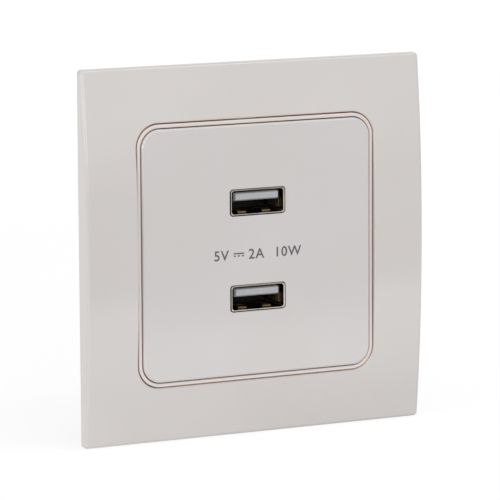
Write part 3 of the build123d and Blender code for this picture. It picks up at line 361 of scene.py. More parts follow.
lamps = (softbox("softbox_above", (0.62, -0.62, 1.15), 0.62, 0.16),
         softbox("softbox_front", (-0.25, -1.55, 0.45), 0.9, 0.25),
         softbox("softbox_side", (-1.50, -0.40, 0.05), 0.8, 0.36))
print("softboxes of", [round(lamp.data.energy, 1) for lamp in lamps], "watts")

# %% [markdown]
# ## Which piece gets which finish
# The record of the model lists every piece with the slot that its material belongs to, and a plain colour
# for each slot. The pieces could be listed here by hand. Reading them from the record keeps this script
# true if a piece is added, and a piece with a finish of its own can still be dressed by name.

# %% Dress the pieces
slot_of = {part["node"]: part["material_slot"] for part in frame["record"]["subparts"]}
slot_colour = {entry["slot"]: tuple(entry["base_color"]) for entry in frame["record"]["materials"]}


def dress(finish, *names):
    """Gives a finish to pieces by name."""
    for name in names:
        for place in nodes[name].material_slots:
            place.material = finish.material
    print(finish.material.name, "on", ", ".join(names))


def pieces_of(slot):
    return sorted(name for name, own in slot_of.items() if own == slot)


print(len(slot_of), "pieces in", len(slot_colour), "slots")

# %% [markdown]
# ## Hairline gaps
# A gap of 0.2 mm runs on each side of the ring, and it reads as a thin brown line, because light that
# bounces between warm white walls comes out browner each time. More light bounces in the render would give
# it, slowly. Here the brown is painted shade: the finish itself asks how deep a point lies, and in a narrow
# band behind the front the walls get a painted brown shade and lose their gloss.

# %% Masks for the walls of a gap
plate_low, plate_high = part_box("centre_plate")
hairline = 0.2
ring_width = 0.8
plate_corner_r = 4.1
opening_half = (plate_high.x - plate_low.x) / 2 / mm + ring_width + 2 * hairline
opening_r = plate_corner_r + ring_width + 2 * hairline
frame_gap_level = -6.25
plate_gap_level = -6.1
ring_gap_level = -5.9
gap_depth = 1.6
gap_painted_shade = (1.06, 0.78, 0.62)
gap_roughness = 0.9


def in_band(made, level):
    """1 in the band of depths that a gap between two mouldings shows, behind a level."""
    start = made.above("Y", level, soft=0.1)
    end = made.above("Y", level + gap_depth, soft=0.3)
    return made.math("SUBTRACT", start, end)


def behind(level):
    """Mask for the outer walls of a piece, from a level."""
    return lambda made: in_band(made, level)


def in_opening(level):
    """Mask for the walls of the rounded square that the frame leaves open, from a level."""
    def mask(made):
        straight = (opening_half - opening_r) * mm
        sides = []
        for axis in "XZ":
            past = made.math("SUBTRACT", made.math("ABSOLUTE", made.along(axis)), straight)
            sides.append(made.math("POWER", made.math("MAXIMUM", past, 0.0), 2.0))
        away = made.math("SQRT", made.math("ADD", *sides))
        wall = made.spread(away, (opening_r + 0.05) * mm, (opening_r + 0.12) * mm, 1.0, 0.0)
        return made.math("MULTIPLY", wall, in_band(made, level))
    return mask


print("the frame's opening is", round(2 * opening_half, 2), "mm square")

# %% [markdown]
# ## Gloss white plastic
# The frame, the ring and the centre plate are moulded in a polished tool from one warm white plastic.
# Close up it is never quite flat: the skin shrinks into long soft waves, the polish leaves a trace of
# grain, the colour drifts by a hundredth, and a few specks of dust sit on it. One plain colour with a low
# roughness would be quicker, but it looks like glass. Four quiet layers of texture look like plastic.
# Three batches of one plastic differ a little, so the ring is a shade warmer than the plate.

# %% Frame, ring and plate
def gloss_plastic(name, colour, gap_walls, roughness=0.13):
    made = Finish(name, colour, roughness)
    drift = made.spread(made.noise(26, detail=2), 0.35, 0.65)
    tone = made.mix(drift, scaled(colour, 0.985, 0.985, 0.98), scaled(colour, 1.012, 1.012, 1.016))
    speck_size = 0.035
    speck = made.spread(made.cells(4.5), 0.0, speck_size, 1.0, 0.0)
    tone = made.mix(speck, tone, scaled(colour, 0.72, 0.71, 0.70))
    walls = gap_walls(made)
    # The walls of the gap get a painted brown shade.
    made.colour(made.mix(walls, tone, scaled(colour, *gap_painted_shade)))
    polish = made.spread(made.noise(9), 0.3, 0.7, roughness - 0.02, roughness + 0.03)
    made.roughness(made.math("MAXIMUM", polish, made.math("MULTIPLY", walls, gap_roughness)))
    made.relief(made.noise(14, detail=1), 0.012)
    made.relief(made.noise(0.5, detail=2), 0.0012)
    return made


frame_white = scaled(slot_colour["frame_plastic"], 0.98, 0.964, 0.967)
plate_white = scaled(slot_colour["plate_plastic"], 1.0, 0.99, 0.995)
ring_white = scaled(slot_colour["ring_plastic"], 1.04, 0.995, 0.955)
dress(gloss_plastic("gloss_white_frame", frame_white, in_opening(frame_gap_level)), "bezel_frame")
dress(gloss_plastic("gloss_white_plate", plate_white, behind(plate_gap_level)), "centre_plate")
dress(gloss_plastic("gloss_white_ring", ring_white, behind(ring_gap_level)), "trim_ring")

# %% [markdown]
# ## Matt housing plastic
# The charger sits in a housing whose tool was spark-eroded, which prints thousands of tiny craters into
# the plastic. Real dents would take millions of faces, and at this size a bump looks the same. A fine
# cell texture and a finer noise make the craters, and a broad noise the flow marks that run away from the
# place where the plastic entered the tool. The small parts get finer craters.

# %% Housing and lid
def matt_plastic(name, colour, crater, depth):
    made = Finish(name, colour, 0.6)
    flow = made.spread(made.noise(11, stretch=(1, 1, 3), detail=2), 0.35, 0.7)
    grain = made.noise(crater * 0.6, detail=2)
    tone = made.mix(flow, scaled(colour, 0.95), scaled(colour, 1.04))
    made.colour(made.mix(made.spread(grain, 0.3, 0.75), tone, scaled(colour, 1.12)))
    made.roughness(made.spread(grain, 0.3, 0.7, 0.52, 0.68))
    made.relief(made.cells(crater, feature="SMOOTH_F1"), depth)
    made.relief(grain, depth * 0.6)
    return made


mouldings = (("housing_grey", "housing_plastic", 0.28, 0.012), ("lid_black", "lid_plastic", 0.28, 0.012),
             ("strip_black", "black_moulding", 0.2, 0.012), ("bobbin_black", "bobbin_plastic", 0.2, 0.012),
             ("retaining_ring_nylon", "ring_nylon", 0.4, 0.006))
for name, slot, crater, depth in mouldings:
    dress(matt_plastic(name, slot_colour[slot], crater, depth), *pieces_of(slot))

# %% [markdown]
# ## Zinc-plated steel
# The mounting plate and the claws are punched from rolled strip and then zinc plated. Rolling leaves
# fine lines along the strip, plating adds soft cloudy crystals and a faint warm or blue cast.
# An anisotropic shader could smear the highlight along the lines. A noise drawn out along one axis does it
# too, and it also shows the lines themselves.

# %% Plate, claws and cages
def zinc_steel(name, colour, lines=(40, 1, 1), roughness=0.34):
    made = Finish(name, colour, roughness, 1.0)
    rolled = made.noise(0.35, stretch=lines, detail=4)
    crystal = made.cells(2.2, output="Color")
    cast = made.spread(made.noise(7), 0.35, 0.65)
    tone = made.mix(cast, scaled(colour, 1.03, 1.0, 0.95), scaled(colour, 0.96, 1.0, 1.05))
    patch = made.spread(crystal, 0.0, 1.0, 0.0, 0.22)
    tone = made.mix(patch, tone, scaled(colour, 1.16))
    made.colour(made.mix(made.spread(rolled, 0.42, 0.7, 0.0, 0.5), tone, scaled(colour, 0.8)))
    made.roughness(made.spread(crystal, 0.0, 1.0, roughness - 0.06, roughness + 0.1))
    made.relief(rolled, 0.004)
    made.relief(made.noise(1.6), 0.008)
    return made


dress(zinc_steel("zinc_plate", slot_colour["zinc_steel"]), "mounting_plate")
dress(zinc_steel("zinc_claw", slot_colour["zinc_steel"], (1, 30, 1)), "claw_left", "claw_right")
dress(zinc_steel("zinc_cage", slot_colour["cage_steel"], (1, 1, 20), 0.4), *pieces_of("cage_steel"))

# %% [markdown]
# ## Turned and headed metal
# Screws and rivets are headed cold and tumbled in a drum, so they carry small dents and a soft stain where
# the bath dried. They could share the zinc of the plate, but its straight lines would give them away as
# cut from a sheet. The same recipe in other colours makes tinned pins, brass bars and gold contacts.

# %% Screws, rivets, pins and brass
def tumbled_metal(name, colour, roughness, dent):
    made = Finish(name, colour, roughness, 1.0)
    dents = made.noise(dent, detail=3)
    stain = made.spread(made.noise(3.0), 0.35, 0.7)
    made.colour(made.mix(stain, scaled(colour, 1.05), scaled(colour, 0.82, 0.81, 0.78)))
    made.roughness(made.spread(dents, 0.3, 0.7, roughness - 0.08, roughness + 0.14))
    made.relief(dents, 0.008)
    return made


small_metals = (("screw_zinc", "screw_steel", 0.3, 0.5), ("rivet_plain", "rivet_steel", 0.38, 0.5),
                ("pin_tin", "pin_metal", 0.28, 0.3), ("terminal_brass", "terminal_brass", 0.26, 0.5),
                ("contact_gold", "contact_gold", 0.2, 0.25))
for name, slot, roughness, dent in small_metals:
    dress(tumbled_metal(name, slot_colour[slot], roughness, dent), *pieces_of(slot))

# %% [markdown]
# ## Nickel shells
# Each port's shell is folded from bright nickel-plated strip. Strip lines run with the fold, into the port,
# and a slightly duller bloom lies on it. Seen from the front the rim is bright, the walls behind it are
# dark, and the sprung leaves in them are tan, because little light gets in and most of it is brown. That
# light and shade is painted into the colour: painted shade on the walls behind the mouth, on the roof and
# along the left and lower outer edges, and painted warm light on the leaves. Four materials on four sets of
# faces could say that. One material with masks needs no face picked by hand, since the shell's own box says
# where its walls are.

# %% Port shells
shell_wall = 0.3
mouth_depth = 0.16
rim_side = 0.16
rim_sill = 0.15
shade_brown = (0.06, 0.05, 0.045)
roof_painted_shade = (0.16, 0.13, 0.11)
throat_painted_shade = (0.055, 0.036, 0.024)
leaf_painted_light = (0.42, 0.31, 0.19)


def nickel_strip(port, shell_tone):
    colour = scaled(slot_colour["port_nickel"], shell_tone)
    low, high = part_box("usb_shell_" + port)
    made = Finish("port_nickel_" + port, colour, 0.2, 1.0)
    lines = made.noise(0.12, stretch=(1, 40, 1), detail=3)
    bloom = made.spread(made.noise(2.5), 0.4, 0.7)
    bright = made.mix(bloom, scaled(colour, 1.3, 1.2, 1.14), scaled(colour, 1.12, 1.02, 0.95))
    half_x = (high.x - low.x) / 2 / mm
    half_z = (high.z - low.z) / 2 / mm
    centre_z = (low.z + high.z) / 2 / mm

    def within(inset):
        """1 closer to the port's axis than the shell's outside less an inset."""
        past = made.math("MAXIMUM", made.outside("X", 0.0, half_x - inset, 0.03),
                         made.outside("Z", centre_z, half_z - inset))
        return made.math("SUBTRACT", 1.0, past)

    mouth = made.above("Y", low.y / mm + mouth_depth, soft=0.08)
    inside = made.math("MULTIPLY", within(shell_wall / 2), mouth)
    leaf = within(shell_wall + 0.03)
    # lit is 0 along the left and lower outer edges, which get a dark painted shade.
    lit = made.math("MINIMUM", made.above("X", low.x / mm + rim_side, 0.04),
                    made.above("Z", low.z / mm + rim_sill, 0.04))
    # The roof gets a brown painted shade, at a little over half strength.
    roof = made.above("Z", high.z / mm - shell_wall, 0.05)
    bright = made.mix(made.math("MULTIPLY", roof, 0.55), bright, roof_painted_shade)
    bright = made.mix(lit, shade_brown, bright)
    # Walls behind the mouth get a dark painted shade, and the sprung leaves a tan of painted warm light.
    made.colour(made.mix(inside, bright, made.mix(leaf, throat_painted_shade, leaf_painted_light)))
    made.roughness(made.spread(bloom, 0.0, 1.0, 0.3, 0.42))
    made.relief(lines, 0.0015)
    return made


# The lower port's shell is drawn a little darker than the upper one.
for port, shell_tone in (("upper", 1.0), ("lower", 0.88)):
    dress(nickel_strip(port, shell_tone), "usb_shell_" + port)

# %% [markdown]
# ## The tongue in each port
# The tongue is a pale moulding that carries the contacts, but it sits in the shade of its port, so its
# colour is painted at about half its own. It is darker on the flanks behind its front face, and painted
# black as shade deeper in, towards the block that closes the port behind it. The walls of the port shade
# the tongue's two ends, and that shadow is painted too, the one on the right almost to black.
# The moulding could be cut into a pale and a dark material by its faces, but its faces are loose
# triangles. One material can do it all, because it can ask where in the port a point lies.

# %% Port insulators
tongue_half = 5.55
end_shadow_width = 0.45
block_length = 4.1
block_painted_shade = (0.006, 0.006, 0.007)


def port_insulator(colour):
    low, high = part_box("usb_insulator_upper")
    tongue_front = low.y / mm
    block_front = high.y / mm - block_length
    made = Finish("port_insulator", colour, 0.35)
    flanks = made.above("Y", tongue_front + 0.05, soft=0.04)
    depth = made.above("Y", block_front - 2.5, soft=1.5)
    past_left_end = made.above("X", end_shadow_width - tongue_half)
    right_end = made.above("X", tongue_half - end_shadow_width)
    # The tongue's colour is painted at about half its own, as the shade of its recess, and the haze varies
    # it at random.
    haze = made.spread(made.noise(1.5), 0.3, 0.7)
    tone = made.mix(haze, scaled(colour, 0.54, 0.52, 0.50), scaled(colour, 0.59, 0.57, 0.55))
    # Painted shade on the flanks behind the front face.
    tone = made.mix(flanks, tone, scaled(colour, 0.34, 0.31, 0.29))
    # Painted shadow of the port's left wall on the left end.
    tone = made.mix(past_left_end, scaled(colour, 0.27, 0.265, 0.26), tone)
    # Painted shadow on the right end, almost black.
    tone = made.mix(right_end, tone, scaled(colour, 0.05, 0.04, 0.035))
    # Painted shade that fades to black deeper in, towards the block.
    made.colour(made.mix(depth, tone, block_painted_shade))
    made.shader.inputs["Specular IOR Level"].default_value = 0.2
    made.roughness(made.spread(made.noise(0.4), 0.3, 0.7, 0.28, 0.42))
    made.relief(made.noise(0.2, detail=2), 0.003)
    return made


dress(port_insulator(slot_colour["port_insulator"]), *pieces_of("port_insulator"))

# %% [markdown]
# ## Circuit boards
# Under the green lacquer the copper tracks show as slightly paler, raised runs at right angles. Real ones
# would have to be drawn track by track, and on a board inside a housing nobody follows them. Two sets of
# stripes, one for each direction, are cut up by coarse cells, so that each cell holds one direction.

# %% Boards
track_pitch = 1.3


def board_laminate(colour):
    made = Finish("board_green", colour, 0.3)
    across = made.spread(made.bands(track_pitch, "X"), 0.62, 0.72)
    upright = made.spread(made.bands(track_pitch, "Z"), 0.62, 0.72)
    region = made.spread(made.cells(6.0, output="Color"), 0.49, 0.51)
    track = made.node("Mix", {0: region, 2: across, 3: upright}, data_type="FLOAT").outputs[0]
    weave = made.noise(0.25, detail=1)
    base = made.mix(made.spread(weave, 0.35, 0.65), scaled(colour, 0.9), scaled(colour, 1.15))
    made.colour(made.mix(track, base, scaled(colour, 1.35, 1.28, 1.25)))
    made.relief(track, 0.03)
    made.relief(weave, 0.004)
    return made


dress(board_laminate(slot_colour["board_laminate"]), *pieces_of("board_laminate"))

# %% [markdown]
# ## Components with leads
# Capacitors, the choke and the resistor each have a body and tinned leads in one piece. Two materials
# would need the faces of every lead picked. Here the finish turns to tin past the level where the body
# ends, which is the board's own surface. A capacitor is an aluminium can in a shrunk sleeve. The sleeve
# leaves the vent bare, and a pale stripe marks the negative side.

# %% Capacitors
tin = slot_colour["pin_metal"]
stripe_grey = (0.62, 0.64, 0.66)
vent_height = 0.25


def capacitor_sleeve(name, node, stripe_axis, stripe_width, board):
    """Dark shrink sleeve with a pale stripe, bare aluminium at the vent and tinned leads."""
    colour = slot_colour["can_sleeve"]
    low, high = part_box(node)
    made = Finish(name, colour, 0.28)
    vent = made.math("SUBTRACT", 1.0, made.above("Y", low.y / mm + vent_height))
    lead = made.above("Y", board[0].y / mm)
    metal = made.math("MAXIMUM", vent, lead)
    stripe = made.above(stripe_axis, high["XYZ".index(stripe_axis)] / mm - stripe_width)
    wrap = made.mix(made.spread(made.noise(2.0), 0.35, 0.65), colour, scaled(colour, 1.5))
    wrap = made.mix(stripe, wrap, stripe_grey)
    made.colour(made.mix(metal, wrap, tin))
    made.metal(metal)
    made.relief(made.noise(0.8, stretch=(1, 3, 1)), 0.01)
    return made


front_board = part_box("usb_board")
rear_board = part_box("main_board")
dress(capacitor_sleeve("sleeve_mains", "mains_capacitors", "X", 1.0, rear_board), "mains_capacitors")
dress(capacitor_sleeve("sleeve_output", "output_capacitors", "Z", 0.8, front_board), "output_capacitors")

# %% [markdown]
# ## Wound parts
# The choke is copper wire on a ferrite drum, and the transformer a yellow-taped winding in a ferrite core.
# Wire could be modelled turn by turn, but at this size stripes with a real relief say the same, each turn
# with a painted highlight on its crest and painted shade between the turns.
# The stripes end where the drum's flanges begin, so the flanges keep the dark grain of pressed ferrite,
# and the tape shows a darker edge wherever a turn laps over the one before.

# %% Choke, core and winding
wire_pitch = 0.45
tape_width = 3.6
wire_crease_shade = (0.20, 0.06, 0.02)
wire_crest_highlight = (0.62, 0.25, 0.08)


def wound_drum():
    """Ferrite flanges with enamelled copper wire wound between them."""
    low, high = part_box("filter_choke")
    colour = slot_colour["ferrite"]
    made = Finish("choke_drum", colour, 0.5)
    body_end = rear_board[0].y / mm
    height = body_end - low.y / mm
    wound = made.math("SUBTRACT", 1.0, made.outside("Y", body_end - height / 2, height * 0.36))
    turns = made.bands(wire_pitch, "Y")
    # Each turn is painted bright at its crest and dark between turns: painted highlight and shade.
    wire = made.mix(turns, wire_crease_shade, wire_crest_highlight)
    grain = made.mix(made.spread(made.noise(0.3), 0.35, 0.7), scaled(colour, 0.8), scaled(colour, 1.5))
    lead = made.above("Y", body_end)
    made.colour(made.mix(lead, made.mix(wound, grain, wire), tin))
    made.metal(made.math("MAXIMUM", made.math("MULTIPLY", wound, 0.7), lead))
    made.relief(made.math("MULTIPLY", turns, wound), 0.12)
    return made


def ferrite():
    colour = slot_colour["ferrite"]
    made = Finish("core_ferrite", colour, 0.46)
    grain = made.noise(0.18, detail=3)
    made.colour(made.mix(made.spread(grain, 0.35, 0.7), scaled(colour, 0.75), scaled(colour, 1.6)))
    made.roughness(made.spread(made.noise(1.2), 0.3, 0.7, 0.36, 0.58))
    made.relief(grain, 0.01)
    return made


def winding_tape():
    """Yellow polyester tape in overlapping turns."""
    colour = slot_colour["winding_tape"]
    made = Finish("winding_tape", colour, 0.3)
    lap = made.spread(made.bands(tape_width, "Z", 0.4), 0.88, 0.94)
    haze = made.spread(made.noise(1.2), 0.35, 0.7)
    made.colour(made.mix(lap, made.mix(haze, colour, scaled(colour, 0.86, 0.8, 0.7)), scaled(colour, 0.6)))
    made.relief(lap, 0.04)
    made.relief(made.noise(1.5, stretch=(1, 1, 3)), 0.02)
    return made


dress(wound_drum(), "filter_choke")
dress(ferrite(), "transformer_core")
dress(winding_tape(), "transformer_winding")

# %% [markdown]
# ## Resistor, disc and chips
# The same idea serves the rest: a lacquered body with plain bands, a dipped disc whose epoxy ran down its
# leads, and chips whose feet begin where the moulded body ends. Printed type numbers are left out, since
# nobody can read them in a closed housing. What the eye does take in is the sheen: lacquer and epoxy are
# glossy, and a moulded chip is dull.

# %% Resistor, disc and chips
resistor_half = 3.5
band_pitch = 1.5
band_brown = (0.16, 0.05, 0.03)
disc_skirt = 7.6


def banded_resistor():
    """Lacquered body with plain colour bands and tinned leads."""
    low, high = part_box("fuse_resistor")
    colour = slot_colour["resistor_body"]
    made = Finish("fuse_resistor", colour, 0.42)
    middle = (low.x + high.x) / 2 / mm
    bands = made.spread(made.bands(band_pitch, "X"), 0.72, 0.8)
    lacquer = made.mix(made.spread(made.noise(0.6), 0.35, 0.7), scaled(colour, 0.85), scaled(colour, 1.15))
    lead = made.outside("X", middle, resistor_half)
    made.colour(made.mix(lead, made.mix(bands, lacquer, band_brown), tin))
    made.metal(lead)
    made.relief(made.noise(0.5), 0.02)
    return made


def dipped_disc():
    """Blue epoxy that ran down the leads while it was wet."""
    colour = slot_colour["disc_epoxy"]
    made = Finish("disc_blue", colour, 0.26)
    lead = made.above("Y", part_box("safety_capacitor")[0].y / mm + disc_skirt, soft=0.1)
    coat = made.mix(made.spread(made.noise(1.8), 0.3, 0.7), scaled(colour, 0.85), scaled(colour, 1.2))
    made.colour(made.mix(lead, coat, tin))
    made.metal(lead)
    made.relief(made.noise(0.9), 0.05)
    return made


def moulded_chip(node, axis, half):
    """Black epoxy with tinned feet beyond the body's sides."""
    low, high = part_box(node)
    colour = slot_colour["chip_epoxy"]
    made = Finish("chip_" + node, colour, 0.55)
    index = "XYZ".index(axis)
    centre = (low[index] + high[index]) / 2 / mm
    foot = made.outside(axis, centre, half)
    grain = made.noise(0.12, detail=2)
    epoxy = made.mix(made.spread(grain, 0.3, 0.7), scaled(colour, 0.8), scaled(colour, 1.5))
    made.colour(made.mix(foot, epoxy, tin))
    made.metal(foot)
    made.relief(grain, 0.006)
    return made


dress(banded_resistor(), "fuse_resistor")
dress(dipped_disc(), "safety_capacitor")
for node, axis, half in (("bridge_rectifier", "Z", 2.12), ("power_chip", "X", 2.02),
                         ("port_controller", "X", 2.02), ("output_diode", "X", 2.22)):
    dress(moulded_chip(node, axis, half), node)

# %% [markdown]
# ## Screw threads
# A screw thread is a ridge that winds round the shank. It could be modelled by hand for one screw, but
# there are eight here in three sizes, so a Geometry Nodes tree makes them all. Every such tree ends in the
# same way: a copy of one shape stands on each point it is given, turned the right way, and the copies
# become one painted mesh. That part is written once and takes the shape as a function, because the solder
# joints need it too.

# %% A tree that stands one shape on every seat
def wire_up(tree, *links):
    """Links nodes, each link given as a node and its output, then a node and its input."""
    for start, output, end, taken in links:
        tree.links.new(start.outputs[output], end.inputs[taken])


def seat_tree(name, sizes, shape_of):
    """Tree whose inputs are the seats, the shape's sizes in millimetres, a turn and a material."""
    tree = bpy.data.node_groups.new(name, "GeometryNodeTree")
    inputs = [("Seats", "Geometry", None)] + [(size, "Float", value * mm) for size, value in sizes]
    inputs += [("Direction", "Vector", (0.0, 0.0, 0.0)), ("Metal", "Material", None)]
    for title, kind, value in inputs:
        socket = tree.interface.new_socket(name=title, in_out="INPUT", socket_type="NodeSocket" + kind)
        if value is not None:
            socket.default_value = value
    tree.interface.new_socket(name="Pieces", in_out="OUTPUT", socket_type="NodeSocketGeometry")
    add = tree.nodes.new
    given, result = add("NodeGroupInput"), add("NodeGroupOutput")
    turned, stand = add("FunctionNodeEulerToRotation"), add("GeometryNodeInstanceOnPoints")
    joined, paint = add("GeometryNodeRealizeInstances"), add("GeometryNodeSetMaterial")
    wire_up(tree, (given, "Seats", stand, "Points"), (shape_of(tree, given), 0, stand, "Instance"),
            (given, "Direction", turned, 0), (turned, 0, stand, "Rotation"),
            (stand, "Instances", joined, "Geometry"), (joined, "Geometry", paint, "Geometry"),
            (given, "Metal", paint, "Material"), (paint, "Geometry", result, "Pieces"))
    print(name, "takes", ", ".join(title for title, _, _ in inputs))
    return tree


print("a seat tree is made from a name, sizes and a shape")

# %% [markdown]
# The ridge itself is a spiral curve with a small diamond for its section. The number of turns follows from
# the length and the pitch, as it does on a lathe, so the tree's inputs are the thread's real sizes. A
# displaced cylinder would need thousands of points to get an edge this sharp.

# %% The thread tree
def wound_ridge(tree, given):
    """A spiral with a diamond for its section, closed at both ends."""
    add = tree.nodes.new
    turns, spiral = add("ShaderNodeMath"), add("GeometryNodeCurveSpiral")
    section, ridge = add("GeometryNodeCurvePrimitiveCircle"), add("GeometryNodeCurveToMesh")
    turns.operation = "DIVIDE"
    spiral.inputs["Resolution"].default_value = 28
    section.inputs["Resolution"].default_value = 4
    ridge.inputs["Fill Caps"].default_value = True
    wire_up(tree, (given, "Length", turns, 0), (given, "Pitch", turns, 1), (turns, 0, spiral, "Rotations"),
            (given, "Length", spiral, "Height"), (given, "Radius", spiral, "Start Radius"),
            (given, "Radius", spiral, "End Radius"), (given, "Ridge", section, "Radius"),
            (spiral, "Curve", ridge, "Curve"), (section, "Curve", ridge, "Profile Curve"))
    return ridge


thread_sizes = (("Radius", 1.5), ("Pitch", 0.5), ("Length", 10.0), ("Ridge", 0.2))
thread_tree = seat_tree("screw_thread", thread_sizes, wound_ridge)

# %% [markdown]
# A tree only shows its result while a modifier runs it, and what other programs take is a plain mesh. So
# each result is evaluated once and kept, and the helper object goes. Every piece then says which moving
# body it rides on, because a thread has to turn with its own screw.

# %% Bake a tree into a plain piece
def plain_mesh(source, name):
    """Evaluates a helper object once, keeps what it shows as a mesh and removes the helper."""
    graph = bpy.context.evaluated_depsgraph_get()
    mesh = bpy.data.meshes.new_from_object(source.evaluated_get(graph), depsgraph=graph)
    bpy.data.objects.remove(source)
    mesh.name = name
    return mesh


def grow(name, points, tree, values):
    """Runs a tree on a set of points and keeps its result as a plain mesh at the origin."""
    seed = bpy.data.meshes.new(name + "_seats")
    seed.from_pydata([tuple(p) for p in points], [], [])
    source = link_mesh(name + "_source", seed)
    modifier = source.modifiers.new("tree", "NODES")
    modifier.node_group = tree
    for item in tree.interface.items_tree:
        if item.name in values:
            modifier[item.identifier] = values[item.name]
    return link_mesh(name, plain_mesh(source, name))


def settle(piece, body):
    """Last step for every added piece: the body it rides on."""
    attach(piece, body)
    print(piece.name, len(piece.data.polygons), "faces on", body)
    return piece


print("trees can now be kept as plain pieces")

# %% [markdown]
# The seats of the threads are read from the screws themselves, so a screw that moves in the model takes
# its thread along. Where several screws or leads are one piece, their ends are found as groups of points
# past a level: points that lie close together belong to one end, and its middle is the seat.

# %% Find the ends of pins and screws
def ends_past(names, level, sign, reach=0.95):
    """Centres of the separate ends that pass a level along Y, found from the points beyond it."""
    margin = 0.1 * mm
    groups = []
    for name in names:
        for vertex in nodes[name].data.vertices:
            if (vertex.co.y - level) * sign < margin:
                continue
            for group in groups:
                if (group[0] - vertex.co).xz.length < reach * mm:
                    group.append(vertex.co)
                    break
            else:
                groups.append([vertex.co])
    centres = []
    for group in groups:
        across = [p.x for p in group]
        upright = [p.z for p in group]
        centres.append(((min(across) + max(across)) / 2, level, (min(upright) + max(upright)) / 2))
    return centres


closing_point = 0.6
closing_tips = ends_past(["module_screws"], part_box("module_screws")[0].y + closing_point * mm, -1, 2.4)
print("closing screws at", [(round(x / mm, 1), round(z / mm, 1)) for x, _, z in closing_tips])

# %% [markdown]
# A thread is rolled into the shank between two dies, so it starts a little past the head and runs out
# before the point. The claw screws have a fine pitch, because they pull hard over a short way. The clamp
# screws are finer still, and the closing screws, which cut into plastic, are coarse. The threads on one
# screw ride on that screw, so they turn with it when the claw opens.

# %% Threads on the screws
screw_metal = bpy.data.materials["screw_zinc"]
into_wall = (radians(-90), 0.0, 0.0)
upwards = (0.0, 0.0, 0.0)
claw_neck, claw_point = 3.4, 1.2
clamp_head, clamp_point = 1.5, 0.7
closing_grip = 9.0


def threads(name, seats, length, direction, radius, pitch, ridge):
    """Threads of one size, all in millimetres, that start at each seat."""
    values = {"Radius": radius * mm, "Pitch": pitch * mm, "Length": length * mm, "Ridge": ridge * mm,
              "Direction": direction, "Metal": screw_metal}
    return grow(name, seats, thread_tree, values)


def middle(low, high):
    return (low + high) / 2


for side in ("left", "right"):
    low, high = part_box("claw_screw_" + side)
    centre = middle(low, high)
    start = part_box("mounting_plate")[0].y + claw_neck * mm
    length = (high.y - start) / mm - claw_point
    made = threads("claw_thread_" + side, [(centre.x, start, centre.z)], length, into_wall, 1.75, 0.6, 0.17)
    settle(made, "claw_screw_" + side)

for pole in ("live", "neutral"):
    low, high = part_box("terminal_screw_" + pole)
    centre = middle(low, high)
    seat = (centre.x, centre.y, low.z + clamp_head * mm)
    length = (high.z - low.z) / mm - clamp_head - clamp_point
    made = threads("clamp_thread_" + pole, [seat], length, upwards, 1.5, 0.5, 0.13)
    settle(made, "clamp_screw_" + pole)

made = threads("closing_threads", closing_tips, closing_grip, into_wall, 1.1, 0.85, 0.2)
settle(made, "socket")

# %% [markdown]
# ## Solder joints
# Every lead that passes a board ends in a small cone of solder, which wets the board widely and climbs the
# lead. There are dozens and they are all alike, so they grow on the same kind of tree. The points are the
# ends of the leads, found on the pieces, so a part that moves on its board takes its joints along. Solder
# is brighter and smoother than the tin of the leads, since it froze from the melt.

# %% Solder joints on both boards
def solder_cone(tree, given):
    """A cone with a wide foot on the board and a narrow neck at the lead."""
    cone, smooth = tree.nodes.new("GeometryNodeMeshCone"), tree.nodes.new("GeometryNodeSetShadeSmooth")
    cone.inputs["Vertices"].default_value = 14
    cone.inputs["Side Segments"].default_value = 2
    wire_up(tree, (given, "Foot", cone, "Radius Bottom"), (given, "Neck", cone, "Radius Top"),
            (given, "Rise", cone, "Depth"), (cone, "Mesh", smooth, "Geometry"))
    return smooth


out_of_wall = (radians(90), 0.0, 0.0)
solder_tree = seat_tree("solder_joint", (("Foot", 0.85), ("Neck", 0.38), ("Rise", 0.55)), solder_cone)
solder = tumbled_metal("solder_tin", slot_colour["pin_metal"], 0.24, 0.6)
rear_leads = ["board_pins", "bridge_rectifier", "filter_choke", "fuse_resistor", "mains_capacitors",
              "safety_capacitor", "transformer_bobbin"]
joints = (
    ("solder_main_board", ends_past(rear_leads, rear_board[1].y, 1), into_wall),
    ("solder_usb_board", ends_past(["output_capacitors"], front_board[1].y, 1), into_wall),
    ("solder_board_pins", ends_past(["board_pins"], front_board[0].y, -1), out_of_wall),
)
for name, seats, direction in joints:
    values = {"Direction": direction, "Metal": solder.material}
    print(len(seats), "leads pass the board")
    settle(grow(name, seats, solder_tree, values), "socket")

# %% [markdown]
# ## The rating mark
# Between the ports the plate carries a short print. Here it holds a plain rating of its own: volts, the
# sign for direct current, amperes and watts. On the real thing it is stamped with a soft pad, which leaves
# a film of ink a few hundredths thick. An image would give the same look, but only at one size, and it
# would need the plate unwrapped. Text objects give the figures, and the sign is built from four bars,
# because a font rarely has it.

# %% Text as a mesh
def text_mesh(text, cap_height, spacing, depth, bolder=0.0):
    """Flat letters with their lower left corner at the origin, scaled to the height of their capitals."""
    curve = bpy.data.curves.new("letters", "FONT")
    curve.body = text
    curve.space_character = spacing
    curve.extrude = 0.5
    curve.offset = bolder
    curve.resolution_u = 6
    mesh = plain_mesh(link_mesh("letters", curve), "letters")
    corners = [v.co.copy() for v in mesh.vertices]
    low = Vector(map(min, *corners))
    high = Vector(map(max, *corners))
    scale = cap_height * mm / (high.y - low.y)
    flat = Matrix.Diagonal((scale, scale, depth * mm / (high.z - low.z), 1))
    mesh.transform(flat @ Matrix.Translation(-low))
    return mesh, (high.x - low.x) * scale / mm


